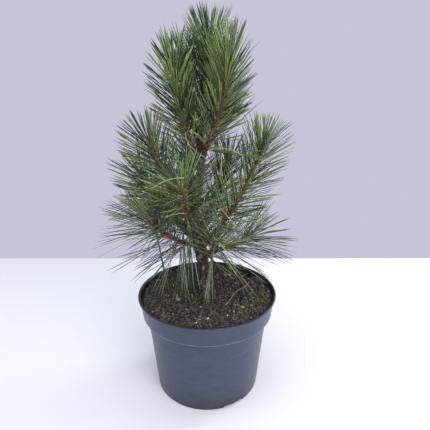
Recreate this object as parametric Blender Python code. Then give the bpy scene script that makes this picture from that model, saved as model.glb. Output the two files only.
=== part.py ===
"""A young dwarf black pine in its plastic nursery pot.

Metres, +Z up. The origin is the middle of the pot's flat underside, and -Y is the front.
Heights on the trunk are measured from the soil that it stands on. An angle round the trunk
is in degrees, counted from +X towards +Y, so the front is at -90.
"""
import math
import random
from collections import namedtuple

import bmesh
import bpy
import numpy as np
from mathutils import Matrix

GAP = 0.0003

# Pot: a thin moulded shell with a wide collar under its rim
POT_SIDES = 40
POT_HEIGHT = 0.1688
RIM_RADIUS = 0.1150
LIP_HEIGHT = 0.0048
COLLAR_HEIGHT = 0.0336
COLLAR_TOP_RADIUS = 0.1122
COLLAR_FOOT_RADIUS = 0.1084
BODY_TOP_RADIUS = 0.1008
BASE_RADIUS = 0.0876
WALL = 0.0018
RIM_THICKNESS = 0.0030
EDGE_ROUND = 0.0030
EDGE_BREAK = 0.0008
INNER_STEP = 0.0010
PAD_RADIUS = 0.030
FOOT_INNER_RADIUS = 0.0745
CHANNEL_HEIGHT = 0.0050
CHANNEL_SLOPE = 0.0038
DRAIN_HOLES = 6
DRAIN_HOLE_RADIUS = 0.0050
DRAIN_CUT_DEPTH = 0.010
NOTCHES = 3
NOTCH_ANGLE = -61.0
NOTCH_WIDTH = 0.035
NOTCH_LENGTH = 0.030
NOTCH_HEIGHT = 0.0044

# Soil: fills the pot to just under its lip, higher at the back, with a flat seat for the trunk
SOIL_TOP = 0.1610
SOIL_BACK_RISE = 0.0042
SOIL_BUMP = 0.0010
SOIL_RINGS = 4
SEAT_RADIUS = 0.022
SOIL_SEED = 3

# Trunk: flared at its foot, bent to one side half way up, swollen where boughs leave it
TRUNK_HEIGHT = 0.246
TRUNK_RINGS = 20
RING_GROWTH = 1.25
TRUNK_SIDES = 10
TRUNK_FOOT_RADIUS = 0.0100
TRUNK_TOP_RADIUS = 0.0052
FLARE = 0.0055
FLARE_HEIGHT = 0.018
FLARE_LOBES = 3
LOBE_DEPTH = 0.0012
WHORL_HEIGHTS = (0.076, 0.124, 0.238)
WHORL_SWELLING = 0.0018
WHORL_SPREAD = 0.010
TRUNK_LEAN = (-0.0075, 0.0040)
TRUNK_BEND = -0.0165
BEND_HEIGHT = 0.127
BEND_SPREAD = 0.060

# Boughs, and the shoots that carry on from them with needles
LIMB_SIDES = 6
RISE_POWER = 1.15
SWAY = 0.0025
PATH_STEPS = 90
SAMPLE_STEP = 0.002
ROOT_GAP = 0.0005
ROOT_SLIDE = (-0.010, 0.020)
RING_SPACING = 0.016
TIP_SHARE = 0.62
BUD_LENGTH = 0.013
BUD_RADIUS = 0.0034
BUD_RINGS = ((0.35, 1.0), (0.75, 0.6))

# Needles: stout three-sided spikes, each standing for a few of the real ones. Next to the bud some
# close up round it, and they all end at about one height, so a shoot has a flat top.
GOLDEN_ANGLE = math.radians(137.508)
NEEDLE_RADIUS = 0.0017
NEEDLE_WAIST = 0.9
NEEDLE_SEED = 140
FIRST_NEEDLE = 0.003
CROWDING = 0.85
NEEDLE_CLEARANCE = 0.0008
SHORTEST_SHARE = 0.42
TESTED_SHARES = np.linspace(0.08, 1, 24)
LENGTH_JITTER = 0.05
ANGLE_JITTER = math.radians(5)
CLOSING_FROM = 0.80
CLOSING_ANGLE = 5
BARE_BUD_SHARE = 0.05
FREE_OF_SOIL = 0.008
FREE_OF_RIM = 0.004
RIM_ZONE = 0.006

# How needles stand on a shoot: their length, how far past the bud they reach, the shoot's
# length for each needle, the angle to the shoot in degrees at its foot and at its tip, the
# curl towards the bud, the droop, and whether the solid needle shows its bend
Habit = namedtuple("Habit", "length past spacing foot_angle tip_angle curl droop bent")
LEADER = Habit(0.062, 0.036, 0.0020, 46, 29, 0.06, 0.00, False)
TOP = Habit(0.051, 0.041, 0.0020, 54, 33, 0.08, 0.00, False)
MIDDLE = Habit(0.058, 0.037, 0.0018, 61, 35, 0.08, 0.03, False)
LOW = Habit(0.090, 0.058, 0.0016, 62, 32, 0.06, 0.17, True)
FRONT = Habit(0.060, 0.040, 0.0018, 66, 36, 0.10, 0.02, False)
OLD = Habit(0.090, 0.200, 0.0036, 74, 60, 0.06, 0.28, True)

# A limb: height on the trunk, angle round it, reach out and rise to its tip, how soon it
# turns up, where its old needles and then its young ones begin, radius at the trunk, habit
Limb = namedtuple("Limb", "name height angle reach rise bow bare young radius habit")
LIMBS = (
    Limb("leader", TRUNK_HEIGHT, 48, 0.019, 0.160, 1.2, 0.012, 0.012, 0.0042, LEADER),
    Limb("top_front", 0.230, -50, 0.056, 0.143, 1.8, 0.012, 0.012, 0.0036, TOP),
    Limb("top_left", 0.226, 204, 0.040, 0.142, 1.9, 0.012, 0.012, 0.0036, TOP),
    Limb("top_back_left", 0.228, 118, 0.050, 0.150, 1.6, 0.012, 0.012, 0.0034, TOP),
    Limb("top_back_right", 0.231, 48, 0.050, 0.128, 1.7, 0.012, 0.012, 0.0032, TOP),
    Limb("middle_left_front", 0.134, 205, 0.069, 0.133, 1.3, 0.014, 0.034, 0.0040, MIDDLE),
    Limb("middle_left", 0.113, 168, 0.088, 0.096, 1.4, 0.014, 0.030, 0.0036, MIDDLE),
    Limb("middle_right", 0.084, -3, 0.100, 0.177, 1.35, 0.014, 0.036, 0.0044, MIDDLE),
    Limb("middle_back_right", 0.108, 46, 0.080, 0.118, 1.4, 0.014, 0.026, 0.0036, MIDDLE),
    Limb("middle_front", 0.121, -101, 0.086, 0.091, 1.3, 0.014, 0.034, 0.0036, FRONT),
    Limb("middle_back", 0.127, 98, 0.080, 0.112, 1.4, 0.014, 0.026, 0.0036, MIDDLE),
    Limb("low_left", 0.088, 206, 0.078, 0.060, 1.8, 0.014, 0.028, 0.0036, LOW),
    Limb("low_back_left", 0.096, 134, 0.084, 0.050, 1.5, 0.014, 0.032, 0.0034, LOW),
    Limb("low_front", 0.060, -64, 0.040, 0.056, 1.4, 0.014, 0.014, 0.0030, FRONT),
    Limb("low_right", 0.068, 14, 0.090, 0.032, 1.3, 0.012, 0.014, 0.0032, LOW),
    Limb("low_back", 0.074, 84, 0.080, 0.044, 1.4, 0.014, 0.030, 0.0034, LOW),
)


def clear_scene():
    for obj in list(bpy.data.objects):
        bpy.data.objects.remove(obj)


def material(name, colour, roughness):
    made = bpy.data.materials.new(name)
    made.use_nodes = True
    made.diffuse_color = (*colour, 1)
    shader = made.node_tree.nodes["Principled BSDF"]
    shader.inputs["Base Color"].default_value = (*colour, 1)
    shader.inputs["Roughness"].default_value = roughness
    shader.inputs["Metallic"].default_value = 0.0
    return made


def place(name, mesh, finish, sharp_over=40):
    """Makes the mesh a named object, smooth except over edges sharper than this many degrees."""
    mesh.materials.clear()
    mesh.materials.append(finish)
    mesh.shade_smooth()
    mesh.set_sharp_from_angle(angle=math.radians(sharp_over))
    obj = bpy.data.objects.new(name, mesh)
    bpy.context.scene.collection.objects.link(obj)
    return obj


def mesh_from(bm, name):
    mesh = bpy.data.meshes.new(name)
    bm.to_mesh(mesh)
    bm.free()
    return mesh


def lofted(name, rings, foot=None, tip=None):
    """A closed skin over rings of points. Its ends are flat, or fans round a foot or tip point."""
    bm = bmesh.new()
    loops = [[bm.verts.new(point) for point in ring] for ring in rings]
    count = len(loops[0])
    for lower, upper in zip(loops, loops[1:]):
        for i in range(count):
            j = (i + 1) % count
            bm.faces.new((lower[i], lower[j], upper[j], upper[i]))
    for loop, middle in ((loops[0][::-1], foot), (loops[-1], tip)):
        if middle is None:
            bm.faces.new(loop)
            continue
        centre = bm.verts.new(middle)
        for i in range(count):
            bm.faces.new((loop[i], loop[(i + 1) % count], centre))
    return mesh_from(bm, name)


def round_ring(centre, radius, sides, across=(1, 0, 0), along=(0, 1, 0)):
    """A ring of points about centre in the plane of two unit directions."""
    turns = 2 * math.pi * np.arange(sides)[:, None] / sides
    return centre + radius * (np.cos(turns) * np.asarray(across) + np.sin(turns) * np.asarray(along))


def body_radius(height):
    """Outer radius of the pot's tapering body."""
    share = height / (POT_HEIGHT - COLLAR_HEIGHT)
    return BASE_RADIUS + (BODY_TOP_RADIUS - BASE_RADIUS) * share


def collar_radius(height):
    """Outer radius of the pot's collar."""
    foot = POT_HEIGHT - COLLAR_HEIGHT
    share = (height - foot) / (COLLAR_HEIGHT - LIP_HEIGHT)
    return COLLAR_FOOT_RADIUS + (COLLAR_TOP_RADIUS - COLLAR_FOOT_RADIUS) * share


def pot_profile():
    """The shell's section as (radius, height), out from under its middle, up, over and down."""
    step = POT_HEIGHT - COLLAR_HEIGHT
    lip_foot = POT_HEIGHT - LIP_HEIGHT
    outside = [
        (0, 0),
        (PAD_RADIUS, 0),
        (PAD_RADIUS + CHANNEL_SLOPE, CHANNEL_HEIGHT),
        (FOOT_INNER_RADIUS - CHANNEL_SLOPE, CHANNEL_HEIGHT),
        (FOOT_INNER_RADIUS, 0),
        (BASE_RADIUS - EDGE_ROUND, 0),
        (BASE_RADIUS - EDGE_ROUND / 4, EDGE_ROUND / 4),
        (body_radius(EDGE_ROUND), EDGE_ROUND),
        (BODY_TOP_RADIUS, step),
        (COLLAR_FOOT_RADIUS - EDGE_BREAK, step),
        (COLLAR_FOOT_RADIUS, step + EDGE_BREAK),
        (COLLAR_TOP_RADIUS, lip_foot),
        (RIM_RADIUS, lip_foot + LIP_HEIGHT / 2),
        (RIM_RADIUS, POT_HEIGHT - EDGE_BREAK),
        (RIM_RADIUS - EDGE_BREAK, POT_HEIGHT),
    ]
    inside = [
        (RIM_RADIUS - RIM_THICKNESS, POT_HEIGHT),
        (COLLAR_TOP_RADIUS - WALL, lip_foot),
        (collar_radius(step + WALL) - WALL, step + WALL),
        (body_radius(step + WALL) - WALL, step + WALL),
        (body_radius(EDGE_ROUND) - WALL, EDGE_ROUND),
        (BASE_RADIUS - EDGE_ROUND - INNER_STEP, WALL),
        (FOOT_INNER_RADIUS + INNER_STEP, WALL),
        (FOOT_INNER_RADIUS + INNER_STEP - CHANNEL_SLOPE, CHANNEL_HEIGHT + WALL),
        (PAD_RADIUS - INNER_STEP + CHANNEL_SLOPE, CHANNEL_HEIGHT + WALL),
        (PAD_RADIUS - INNER_STEP, WALL),
        (0, WALL),
    ]
    return outside + inside


def cut_with(obj, cutters):
    """Subtracts the cutters, which stay hidden in a collection of their own."""
    group = bpy.data.collections.new(obj.name + "_cutters")
    bpy.context.scene.collection.children.link(group)
    for tool in cutters:
        tool.hide_render = True
        tool.display_type = "WIRE"
        group.objects.link(tool)
    cut = obj.modifiers.new("Cut", "BOOLEAN")
    cut.operand_type = "COLLECTION"
    cut.collection = group
    cut.operation = "DIFFERENCE"


def drain_hole(angle):
    bm = bmesh.new()
    wide = DRAIN_HOLE_RADIUS
    bmesh.ops.create_cone(bm, cap_ends=True, segments=8, radius1=wide, radius2=wide, depth=DRAIN_CUT_DEPTH)
    tool = bpy.data.objects.new("drain_hole_cutter", mesh_from(bm, "drain_hole_cutter"))
    out = (PAD_RADIUS + FOOT_INNER_RADIUS) / 2
    tool.location = (out * math.cos(angle), out * math.sin(angle), CHANNEL_HEIGHT)
    return tool


def foot_notch(angle):
    """Cuts a wide low slot through the foot ring, where water runs out."""
    bm = bmesh.new()
    shape = Matrix.Diagonal((NOTCH_LENGTH, NOTCH_WIDTH, 2 * NOTCH_HEIGHT, 1))
    bmesh.ops.create_cube(bm, size=1, matrix=shape)
    tool = bpy.data.objects.new("foot_notch_cutter", mesh_from(bm, "foot_notch_cutter"))
    tool.location = (BASE_RADIUS * math.cos(angle), BASE_RADIUS * math.sin(angle), 0)
    tool.rotation_euler.z = angle
    return tool


def make_pot(finish):
    profile = pot_profile()
    rings = [round_ring((0, 0, height), radius, POT_SIDES) for radius, height in profile[1:-1]]
    mesh = lofted("pot", rings, foot=(0, 0, profile[0][1]), tip=(0, 0, profile[-1][1]))
    pot = place("pot", mesh, finish)
    holes = [drain_hole(2 * math.pi * i / DRAIN_HOLES) for i in range(DRAIN_HOLES)]
    notches = [foot_notch(math.radians(NOTCH_ANGLE + 360 * i / NOTCHES)) for i in range(NOTCHES)]
    cut_with(pot, holes + notches)


def make_soil(finish):
    """Fills the pot, 0.3 mm clear of its wall, and ends in a bumpy top with a flat seat."""
    draw = random.Random(SOIL_SEED)
    bottom = CHANNEL_HEIGHT + WALL + GAP
    ledge = POT_HEIGHT - COLLAR_HEIGHT + WALL + GAP
    clear = WALL + 2 * GAP
    edge_radius = collar_radius(SOIL_TOP) - clear
    rings = [
        round_ring((0, 0, bottom), body_radius(bottom) - clear, POT_SIDES),
        round_ring((0, 0, ledge), body_radius(ledge) - clear, POT_SIDES),
        round_ring((0, 0, ledge), collar_radius(ledge) - clear, POT_SIDES),
    ]
    for i in range(SOIL_RINGS):
        share = 1 - i / SOIL_RINGS
        radius = SEAT_RADIUS + (edge_radius - SEAT_RADIUS) * share
        ring = round_ring((0, 0, SOIL_TOP), radius, POT_SIDES)
        ring[:, 2] += SOIL_BACK_RISE * share * (1 + ring[:, 1] / radius) / 2
        if i:
            ring[:, 2] += [draw.uniform(-SOIL_BUMP, SOIL_BUMP) for _ in ring]
        rings.append(ring)
    rings.append(round_ring((0, 0, SOIL_TOP), SEAT_RADIUS, POT_SIDES))
    place("soil", lofted("soil", rings), finish)


def trunk_axis(height):
    """The middle of the trunk at this height above the soil."""
    share = height / TRUNK_HEIGHT
    bend = TRUNK_BEND * math.exp(-(((height - BEND_HEIGHT) / BEND_SPREAD) ** 2))
    return np.array([TRUNK_LEAN[0] * share + bend, TRUNK_LEAN[1] * share, SOIL_TOP + GAP + height])


def trunk_radius(height):
    taper = TRUNK_FOOT_RADIUS + (TRUNK_TOP_RADIUS - TRUNK_FOOT_RADIUS) * height / TRUNK_HEIGHT
    flare = FLARE * math.exp(-height / FLARE_HEIGHT)
    swelling = sum(math.exp(-(((height - whorl) / WHORL_SPREAD) ** 2)) for whorl in WHORL_HEIGHTS)
    return taper + flare + WHORL_SWELLING * swelling


def make_trunk(finish):
    rings = []
    for i in range(TRUNK_RINGS + 1):
        height = TRUNK_HEIGHT * (i / TRUNK_RINGS) ** RING_GROWTH
        turns = 2 * math.pi * np.arange(TRUNK_SIDES) / TRUNK_SIDES
        lobes = LOBE_DEPTH * math.exp(-height / FLARE_HEIGHT) * np.cos(FLARE_LOBES * turns)
        radii = (trunk_radius(height) + lobes)[:, None]
        rings.append(round_ring(trunk_axis(height), radii, TRUNK_SIDES))
    place("trunk", lofted("trunk", rings), finish)


def clear_of_trunk(point):
    """How far the point is outside the trunk; a point over its top counts from its end."""
    height = point[2] - SOIL_TOP - GAP
    if height > TRUNK_HEIGHT:
        return height - TRUNK_HEIGHT
    return np.linalg.norm(point[:2] - trunk_axis(height)[:2]) - trunk_radius(height)


class Path:
    """A limb's middle line from the trunk's surface to its tip, walked by distance."""

    def __init__(self, limb, hand):
        turn = math.radians(limb.angle)
        out = np.array([math.cos(turn), math.sin(turn), 0])
        self.side = np.array([-math.sin(turn), math.cos(turn), 0])
        shares = np.linspace(0, 1, PATH_STEPS + 1)[:, None]
        reach = limb.reach * (1 - (1 - shares) ** limb.bow)
        rise = limb.rise * shares**RISE_POWER
        sway = hand * SWAY * np.sin(2 * math.pi * shares)
        points = trunk_axis(limb.height) + reach * out + sway * self.side + rise * np.array([0, 0, 1])
        clear = np.array([clear_of_trunk(point) for point in points])
        first = int(np.argmax(clear > ROOT_GAP))
        self.points = points[first:]
        steps = np.linalg.norm(np.diff(self.points, axis=0), axis=1)
        self.walked = np.concatenate([[0], np.cumsum(steps)])
        self.length = self.walked[-1]

    def point(self, distance):
        return np.array([np.interp(distance, self.walked, self.points[:, k]) for k in range(3)])

    def frame(self, distance):
        """Unit directions along the limb and two across it."""
        low = max(distance - SAMPLE_STEP, 0)
        high = min(distance + SAMPLE_STEP, self.length)
        along = self.point(high) - self.point(low)
        along /= np.linalg.norm(along)
        across = np.cross(self.side, along)
        across /= np.linalg.norm(across)
        return along, across, np.cross(along, across)

    def ring(self, distance, radius):
        _, across, other = self.frame(distance)
        return round_ring(self.point(distance), radius, LIMB_SIDES, across, other)


def limb_radius(limb, path, distance):
    return limb.radius * (1 - (1 - TIP_SHARE) * distance / path.length)


def seated(point, along):
    """Slides a point along its limb until it is just clear of the trunk."""
    low, high = ROOT_SLIDE
    for _ in range(30):
        middle = (low + high) / 2
        if clear_of_trunk(point + middle * along) > ROOT_GAP:
            high = middle
        else:
            low = middle
    return point + high * along


def stations(start, end):
    """Distances of the rings along a limb from start to end."""
    count = max(2, round((end - start) / RING_SPACING))
    return np.linspace(start, end, count + 1)


def make_bough(limb, path, finish):
    rings = [path.ring(d, limb_radius(limb, path, d)) for d in stations(0, limb.bare)]
    along = path.frame(0)[0]
    rings[0] = np.array([seated(point, along) for point in rings[0]])
    foot = seated(path.point(0), along)
    name = "bough_" + limb.name
    place(name, lofted(name, rings, foot=foot), finish)


def shoot_stem(limb, path):
    """The shoot that carries the needles, from the bough's end to its pointed bud."""
    bud = path.length - BUD_LENGTH
    rings = [path.ring(d, limb_radius(limb, path, d)) for d in stations(limb.bare + GAP, bud)]
    rings += [path.ring(bud + at * BUD_LENGTH, width * BUD_RADIUS) for at, width in BUD_RINGS]
    return lofted("stem", rings, tip=path.point(path.length))


class Spaces:
    """Says which points belong to a mass: nearer its own shoot than any other, and clear of limbs."""

    def __init__(self, paths):
        self.shoots = []
        wood = []
        for limb, path in zip(LIMBS, paths):
            leafy = np.arange(limb.bare, path.length, SAMPLE_STEP)
            self.shoots.append(np.array([path.point(d) for d in leafy]))
            for d in np.arange(0, limb.bare, SAMPLE_STEP):
                wood.append((*path.point(d), limb_radius(limb, path, d)))
        for height in np.arange(0, TRUNK_HEIGHT, SAMPLE_STEP):
            wood.append((*trunk_axis(height), trunk_radius(height)))
        self.wood = np.array(wood)

    def holds(self, own, point, radius):
        distances = [np.linalg.norm(shoot - point, axis=1).min() for shoot in self.shoots]
        nearest = distances.pop(own)
        if nearest + 2 * (radius + NEEDLE_CLEARANCE) > min(distances):
            return False
        to_wood = np.linalg.norm(self.wood[:, :3] - point, axis=1) - self.wood[:, 3]
        if to_wood.min() < radius + NEEDLE_CLEARANCE:
            return False
        near_rim = math.hypot(point[0], point[1]) > COLLAR_FOOT_RADIUS - RIM_ZONE
        floor = POT_HEIGHT + FREE_OF_RIM if near_rim else SOIL_TOP + FREE_OF_SOIL
        return point[2] > floor


def needle_line(root, along, outward, angle, length, habit):
    """A needle's middle line as a function of its share: it curls to the bud and droops."""
    straight = math.cos(angle) * along + math.sin(angle) * outward
    bend = habit.curl * along - habit.droop * np.array([0, 0, 1])
    power = 2 if habit.bent else 1
    return lambda share: root + length * (share * straight + share**power * bend)


def spike(line, share, bent):
    """A three-sided needle along the first share of its line."""
    rings = []
    widths = ((0, 1), (0.5, NEEDLE_WAIST)) if bent else ((0, 1),)
    for at, width in widths:
        along = line(share * (at + 0.1)) - line(share * at)
        along /= np.linalg.norm(along)
        across = np.cross(along, (0.3, 0.5, 0.8))
        across /= np.linalg.norm(across)
        centre = line(share * at)
        rings.append(round_ring(centre, width * NEEDLE_RADIUS, 3, across, np.cross(along, across)))
    return lofted("needle", rings, tip=line(share))


def needle_feet(limb, path):
    """Where each needle stands on its limb: habit, share of that habit's stretch, distance."""
    feet = []
    tip = path.length * (1 - BARE_BUD_SHARE)
    for habit, start, end in ((OLD, limb.bare, limb.young), (limb.habit, limb.young, tip)):
        start += FIRST_NEEDLE
        count = int((end - start) / habit.spacing)
        for k in range(count):
            share = ((k + 0.5) / count) ** CROWDING
            feet.append((habit, share, start + (end - start) * share))
    return feet


def needles(limb, path, own, spaces):
    """The spikes of one shoot, spiralling up it, each cut short where its space ends."""
    draw = random.Random(NEEDLE_SEED + own)
    made = []
    for k, (habit, share, distance) in enumerate(needle_feet(limb, path)):
        along, across, other = path.frame(distance)
        turn = k * GOLDEN_ANGLE
        outward = math.cos(turn) * across + math.sin(turn) * other
        closed = 0 if habit is OLD else max(0, (share - CLOSING_FROM) / (1 - CLOSING_FROM))
        closed *= draw.random()
        angle = habit.foot_angle + (habit.tip_angle - habit.foot_angle) * share
        angle += (CLOSING_ANGLE - angle) * closed
        angle = math.radians(angle) + draw.uniform(-ANGLE_JITTER, ANGLE_JITTER)
        flat_top = (path.length - distance + habit.past) / (math.cos(angle) + habit.curl)
        length = min(habit.length, flat_top) * (1 + draw.uniform(-LENGTH_JITTER, LENGTH_JITTER))
        line = needle_line(path.point(distance), along, outward, angle, length, habit)
        free = 0
        for at in TESTED_SHARES:
            if not spaces.holds(own, line(at), NEEDLE_RADIUS):
                break
            free = at
        if free > SHORTEST_SHARE:
            made.append(spike(line, free, habit.bent))
    return made


def joined(stem, spikes):
    """One closed skin of a stem and all its spikes."""
    group = bpy.data.collections.new("spikes")
    bpy.context.scene.collection.children.link(group)
    for mesh in spikes:
        group.objects.link(bpy.data.objects.new("needle", mesh))
    body = bpy.data.objects.new("stem", stem)
    bpy.context.scene.collection.objects.link(body)
    union = body.modifiers.new("Join", "BOOLEAN")
    union.operand_type = "COLLECTION"
    union.collection = group
    union.operation = "UNION"
    union.solver = "MANIFOLD"  # EXACT leaves a loose sliver where dozens of spikes cross
    graph = bpy.context.evaluated_depsgraph_get()
    mesh = bpy.data.meshes.new_from_object(body.evaluated_get(graph))
    for obj in [body, *group.objects]:
        bpy.data.objects.remove(obj)
    bpy.data.collections.remove(group)
    return mesh


def without_scraps(mesh):
    """Drops every loose piece but the largest."""
    bm = bmesh.new()
    bm.from_mesh(mesh)
    left = set(bm.verts)
    pieces = []
    while left:
        found = {left.pop()}
        edge = list(found)
        while edge:
            vert = edge.pop()
            near = {link.other_vert(vert) for link in vert.link_edges} - found
            found |= near
            edge += near
        left -= found
        pieces.append(found)
    pieces.sort(key=len)
    for piece in pieces[:-1]:
        bmesh.ops.delete(bm, geom=list(piece), context="VERTS")
    bm.to_mesh(mesh)
    bm.free()
    return mesh


def make_mass(limb, path, own, spaces, finish):
    spikes = needles(limb, path, own, spaces)
    mesh = joined(shoot_stem(limb, path), spikes)
    place("needles_" + limb.name, without_scraps(mesh), finish)


def main():
    clear_scene()
    plastic = material("pot plastic", (0.030, 0.034, 0.042), 0.42)
    earth = material("soil", (0.055, 0.036, 0.026), 0.95)
    bark = material("bark", (0.120, 0.085, 0.065), 0.90)
    green = material("needles", (0.070, 0.130, 0.055), 0.50)
    make_pot(plastic)
    make_soil(earth)
    make_trunk(bark)
    paths = [Path(limb, (-1) ** i) for i, limb in enumerate(LIMBS)]
    spaces = Spaces(paths)
    for i, (limb, path) in enumerate(zip(LIMBS, paths)):
        make_bough(limb, path, bark)
        make_mass(limb, path, i, spaces, green)


main()
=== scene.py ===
"""The looks of a young dwarf black pine in its plastic nursery pot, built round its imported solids.

Metres, +Z up. The origin is the middle of the pot's underside, and -Y is the front. An angle
round the trunk is in degrees, counted from +X towards +Y. Heights on the trunk are from the soil.
"""

import math
from collections import namedtuple

import bmesh
import bpy
import numpy as np
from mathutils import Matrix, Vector, noise


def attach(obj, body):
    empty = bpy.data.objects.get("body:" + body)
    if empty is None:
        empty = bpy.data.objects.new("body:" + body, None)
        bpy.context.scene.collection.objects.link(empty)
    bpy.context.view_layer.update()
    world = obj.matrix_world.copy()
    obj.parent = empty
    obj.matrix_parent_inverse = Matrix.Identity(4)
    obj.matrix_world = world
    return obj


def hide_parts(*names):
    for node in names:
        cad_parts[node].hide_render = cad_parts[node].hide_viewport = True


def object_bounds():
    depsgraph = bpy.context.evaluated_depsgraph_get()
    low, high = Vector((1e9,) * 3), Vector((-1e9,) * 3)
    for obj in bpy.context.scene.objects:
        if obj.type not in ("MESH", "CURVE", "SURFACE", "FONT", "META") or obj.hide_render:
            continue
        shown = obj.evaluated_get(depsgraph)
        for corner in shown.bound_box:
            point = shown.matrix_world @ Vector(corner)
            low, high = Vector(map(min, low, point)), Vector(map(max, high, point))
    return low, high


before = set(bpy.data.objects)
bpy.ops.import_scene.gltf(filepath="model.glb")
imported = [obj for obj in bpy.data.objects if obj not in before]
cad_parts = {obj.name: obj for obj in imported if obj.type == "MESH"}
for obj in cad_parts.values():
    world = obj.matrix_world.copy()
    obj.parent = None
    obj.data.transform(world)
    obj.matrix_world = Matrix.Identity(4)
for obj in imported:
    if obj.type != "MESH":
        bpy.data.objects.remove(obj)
solids_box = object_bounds()

# The table and the room: a white table top that ends half a metre behind the pot, before a pale
# wall. The main soft lamp hangs in front and to the right, and there is one above, one on the left
# and one low on the right, a little behind. None of it belongs to the plant.
TABLE_BACK = 0.508
TABLE_FRONT = -1.5
TABLE_HALF_WIDTH = 1.6
WALL_COLOUR = (0.560, 0.560, 0.700)
TABLE_COLOUR = (0.75, 0.77, 0.79)
TABLE_ROUGHNESS = 0.55
# A lamp: name, place, width in metres, power in watts, colour
LAMPS = (
    ("main_lamp", (0.62, -1.28, 1.12), 1.3, 21.4, (1.0, 0.98, 0.95)),
    ("top_lamp", (-0.15, -0.20, 1.90), 1.5, 12.5, (1.0, 0.99, 0.97)),
    ("fill_lamp", (-1.3, -0.7, 1.1), 1.5, 4.5, (0.97, 0.98, 1.0)),
    ("side_lamp", (1.25, 0.70, 0.60), 0.6, 12.0, (0.95, 0.97, 1.0)),
)
LAMP_TARGET = Vector((0, 0, 0.28))
EYE = (0.0, -0.5613, 0.4766)
EYE_TILT = math.radians(17.35)
EYE_TURN = math.radians(1.34)
LENS_MM = 30.98
SENSOR_MM = 36.0


def new_node(tree, kind, **settings):
    made = tree.nodes.new(kind)
    for key, value in settings.items():
        setattr(made, key, value)
    return made


def build_room():
    world = bpy.data.worlds.new("pale wall")
    world.use_nodes = True
    world.node_tree.nodes["Background"].inputs["Color"].default_value = (*WALL_COLOUR, 1)
    bpy.context.scene.world = world
    corners = [
        (-TABLE_HALF_WIDTH, TABLE_FRONT, 0),
        (TABLE_HALF_WIDTH, TABLE_FRONT, 0),
        (TABLE_HALF_WIDTH, TABLE_BACK, 0),
        (-TABLE_HALF_WIDTH, TABLE_BACK, 0),
    ]
    mesh = bpy.data.meshes.new("table_top")
    mesh.from_pydata(corners, [], [(0, 1, 2, 3)])
    table = bpy.data.objects.new("table_top", mesh)
    table.rotation_euler.z = -EYE_TURN
    bpy.context.scene.collection.objects.link(table)
    finish = bpy.data.materials.new("table white")
    finish.use_nodes = True
    shader = finish.node_tree.nodes["Principled BSDF"]
    shader.inputs["Base Color"].default_value = (*TABLE_COLOUR, 1)
    shader.inputs["Roughness"].default_value = TABLE_ROUGHNESS
    mesh.materials.append(finish)
    for name, place, size, power, colour in LAMPS:
        light = bpy.data.lights.new(name, "AREA")
        light.shape = "SQUARE"
        light.size = size
        light.energy = power
        light.color = colour
        lamp = bpy.data.objects.new(name, light)
        lamp.location = place
        lamp.rotation_euler = (LAMP_TARGET - Vector(place)).to_track_quat("-Z", "Y").to_euler()
        bpy.context.scene.collection.objects.link(lamp)


def build_camera():
    lens = bpy.data.cameras.new("camera")
    lens.lens = LENS_MM
    lens.sensor_width = SENSOR_MM
    camera = bpy.data.objects.new("camera", lens)
    camera.location = EYE
    camera.rotation_euler = (math.pi / 2 - EYE_TILT, 0, -EYE_TURN)
    bpy.context.scene.collection.objects.link(camera)
    bpy.context.scene.camera = camera
    bpy.context.scene.view_settings.view_transform = "Standard"


build_room()
build_camera()

# The pot: one thin shell of black moulded plastic, turned round the upright axis, with a wide
# collar, a rolled lip, a stacking step inside, six drain holes and three wide notches in its foot.
# Sun fading has greyed its outside, and it is painted darker towards its foot as shade. Its inside
# and the top of its lip keep a plain black, partly as painted shade. Handling has worn the collar's
# low edge pale, and a painted highlight lies there too.
POT_SIDES = 144
POT_HEIGHT = 0.1688
RIM_RADIUS = 0.1150
LIP_HEIGHT = 0.0048
COLLAR_HEIGHT = 0.0336
COLLAR_TOP_RADIUS = 0.1122
COLLAR_FOOT_RADIUS = 0.1084
BODY_TOP_RADIUS = 0.1008
BASE_RADIUS = 0.0876
WALL = 0.0018
RIM_THICKNESS = 0.0030
PAD_RADIUS = 0.030
FOOT_INNER_RADIUS = 0.0745
CHANNEL_HEIGHT = 0.0050
CHANNEL_SLOPE = 0.0038
STACK_RING_HEIGHT = 0.1030
STACK_RING_STEP = 0.0003
DRAIN_HOLES = 6
DRAIN_HOLE_RADIUS = 0.0050
DRAIN_CUT_DEPTH = 0.010
NOTCHES = 3
NOTCH_ANGLE = -61.0
NOTCH_WIDTH = 0.035
NOTCH_LENGTH = 0.030
NOTCH_HEIGHT = 0.0044
# The shell's smaller steps, outside and then inside
COLLAR_UNDERCUT = 0.0022
LIP_SLOPE = 0.0016
INNER_LIP_DROP = 0.0010
INNER_FOOT_RISE = 0.0028
INNER_FOOT_RADIUS = BASE_RADIUS - 0.0040
INNER_CHANNEL_SHIFT = 0.0010
# How its corners are rounded: one whose half angle in radians is over the limit stays as it is
ARC_STEPS = 5
NEARLY_STRAIGHT = 1.5
SHARP_ANGLE = math.radians(50)
# How near a point has to lie to the outside, the collar's step, the foot's channel or the top of
# the lip to count as on it, and how wide the collar's pale edge is, worn and painted with a highlight
SKIN_DEPTH = 0.0009
STEP_ZONE = 0.0005
CHANNEL_ZONE = 0.0006
TOP_ZONE = 0.0008
RUBBED_HIGHLIGHT_EDGE = 0.0016
FAINT_RUBBING = 0.09
# Below this height the outside is painted darker towards the foot as shade, down to this share of
# its full colour at the foot
SHADED_HEIGHT = 0.040
SHADED_FOOT = 0.16
# The sun-greyed outside in two patchy tones; their blue is partly a painted reflection of the pale room
PLASTIC = (0.019, 0.026, 0.060)
PLASTIC_WORN = (0.033, 0.043, 0.086)
# Pale for the rub marks, and on the collar's low edge also a painted highlight
PLASTIC_RUB_AND_HIGHLIGHT = (0.20, 0.23, 0.30)
# Black for the inside and the lip's top, partly unfaded plastic and partly painted shade; mixed in
# towards the foot as painted shade
PLASTIC_INSIDE_AND_SHADE = (0.005, 0.006, 0.009)


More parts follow.
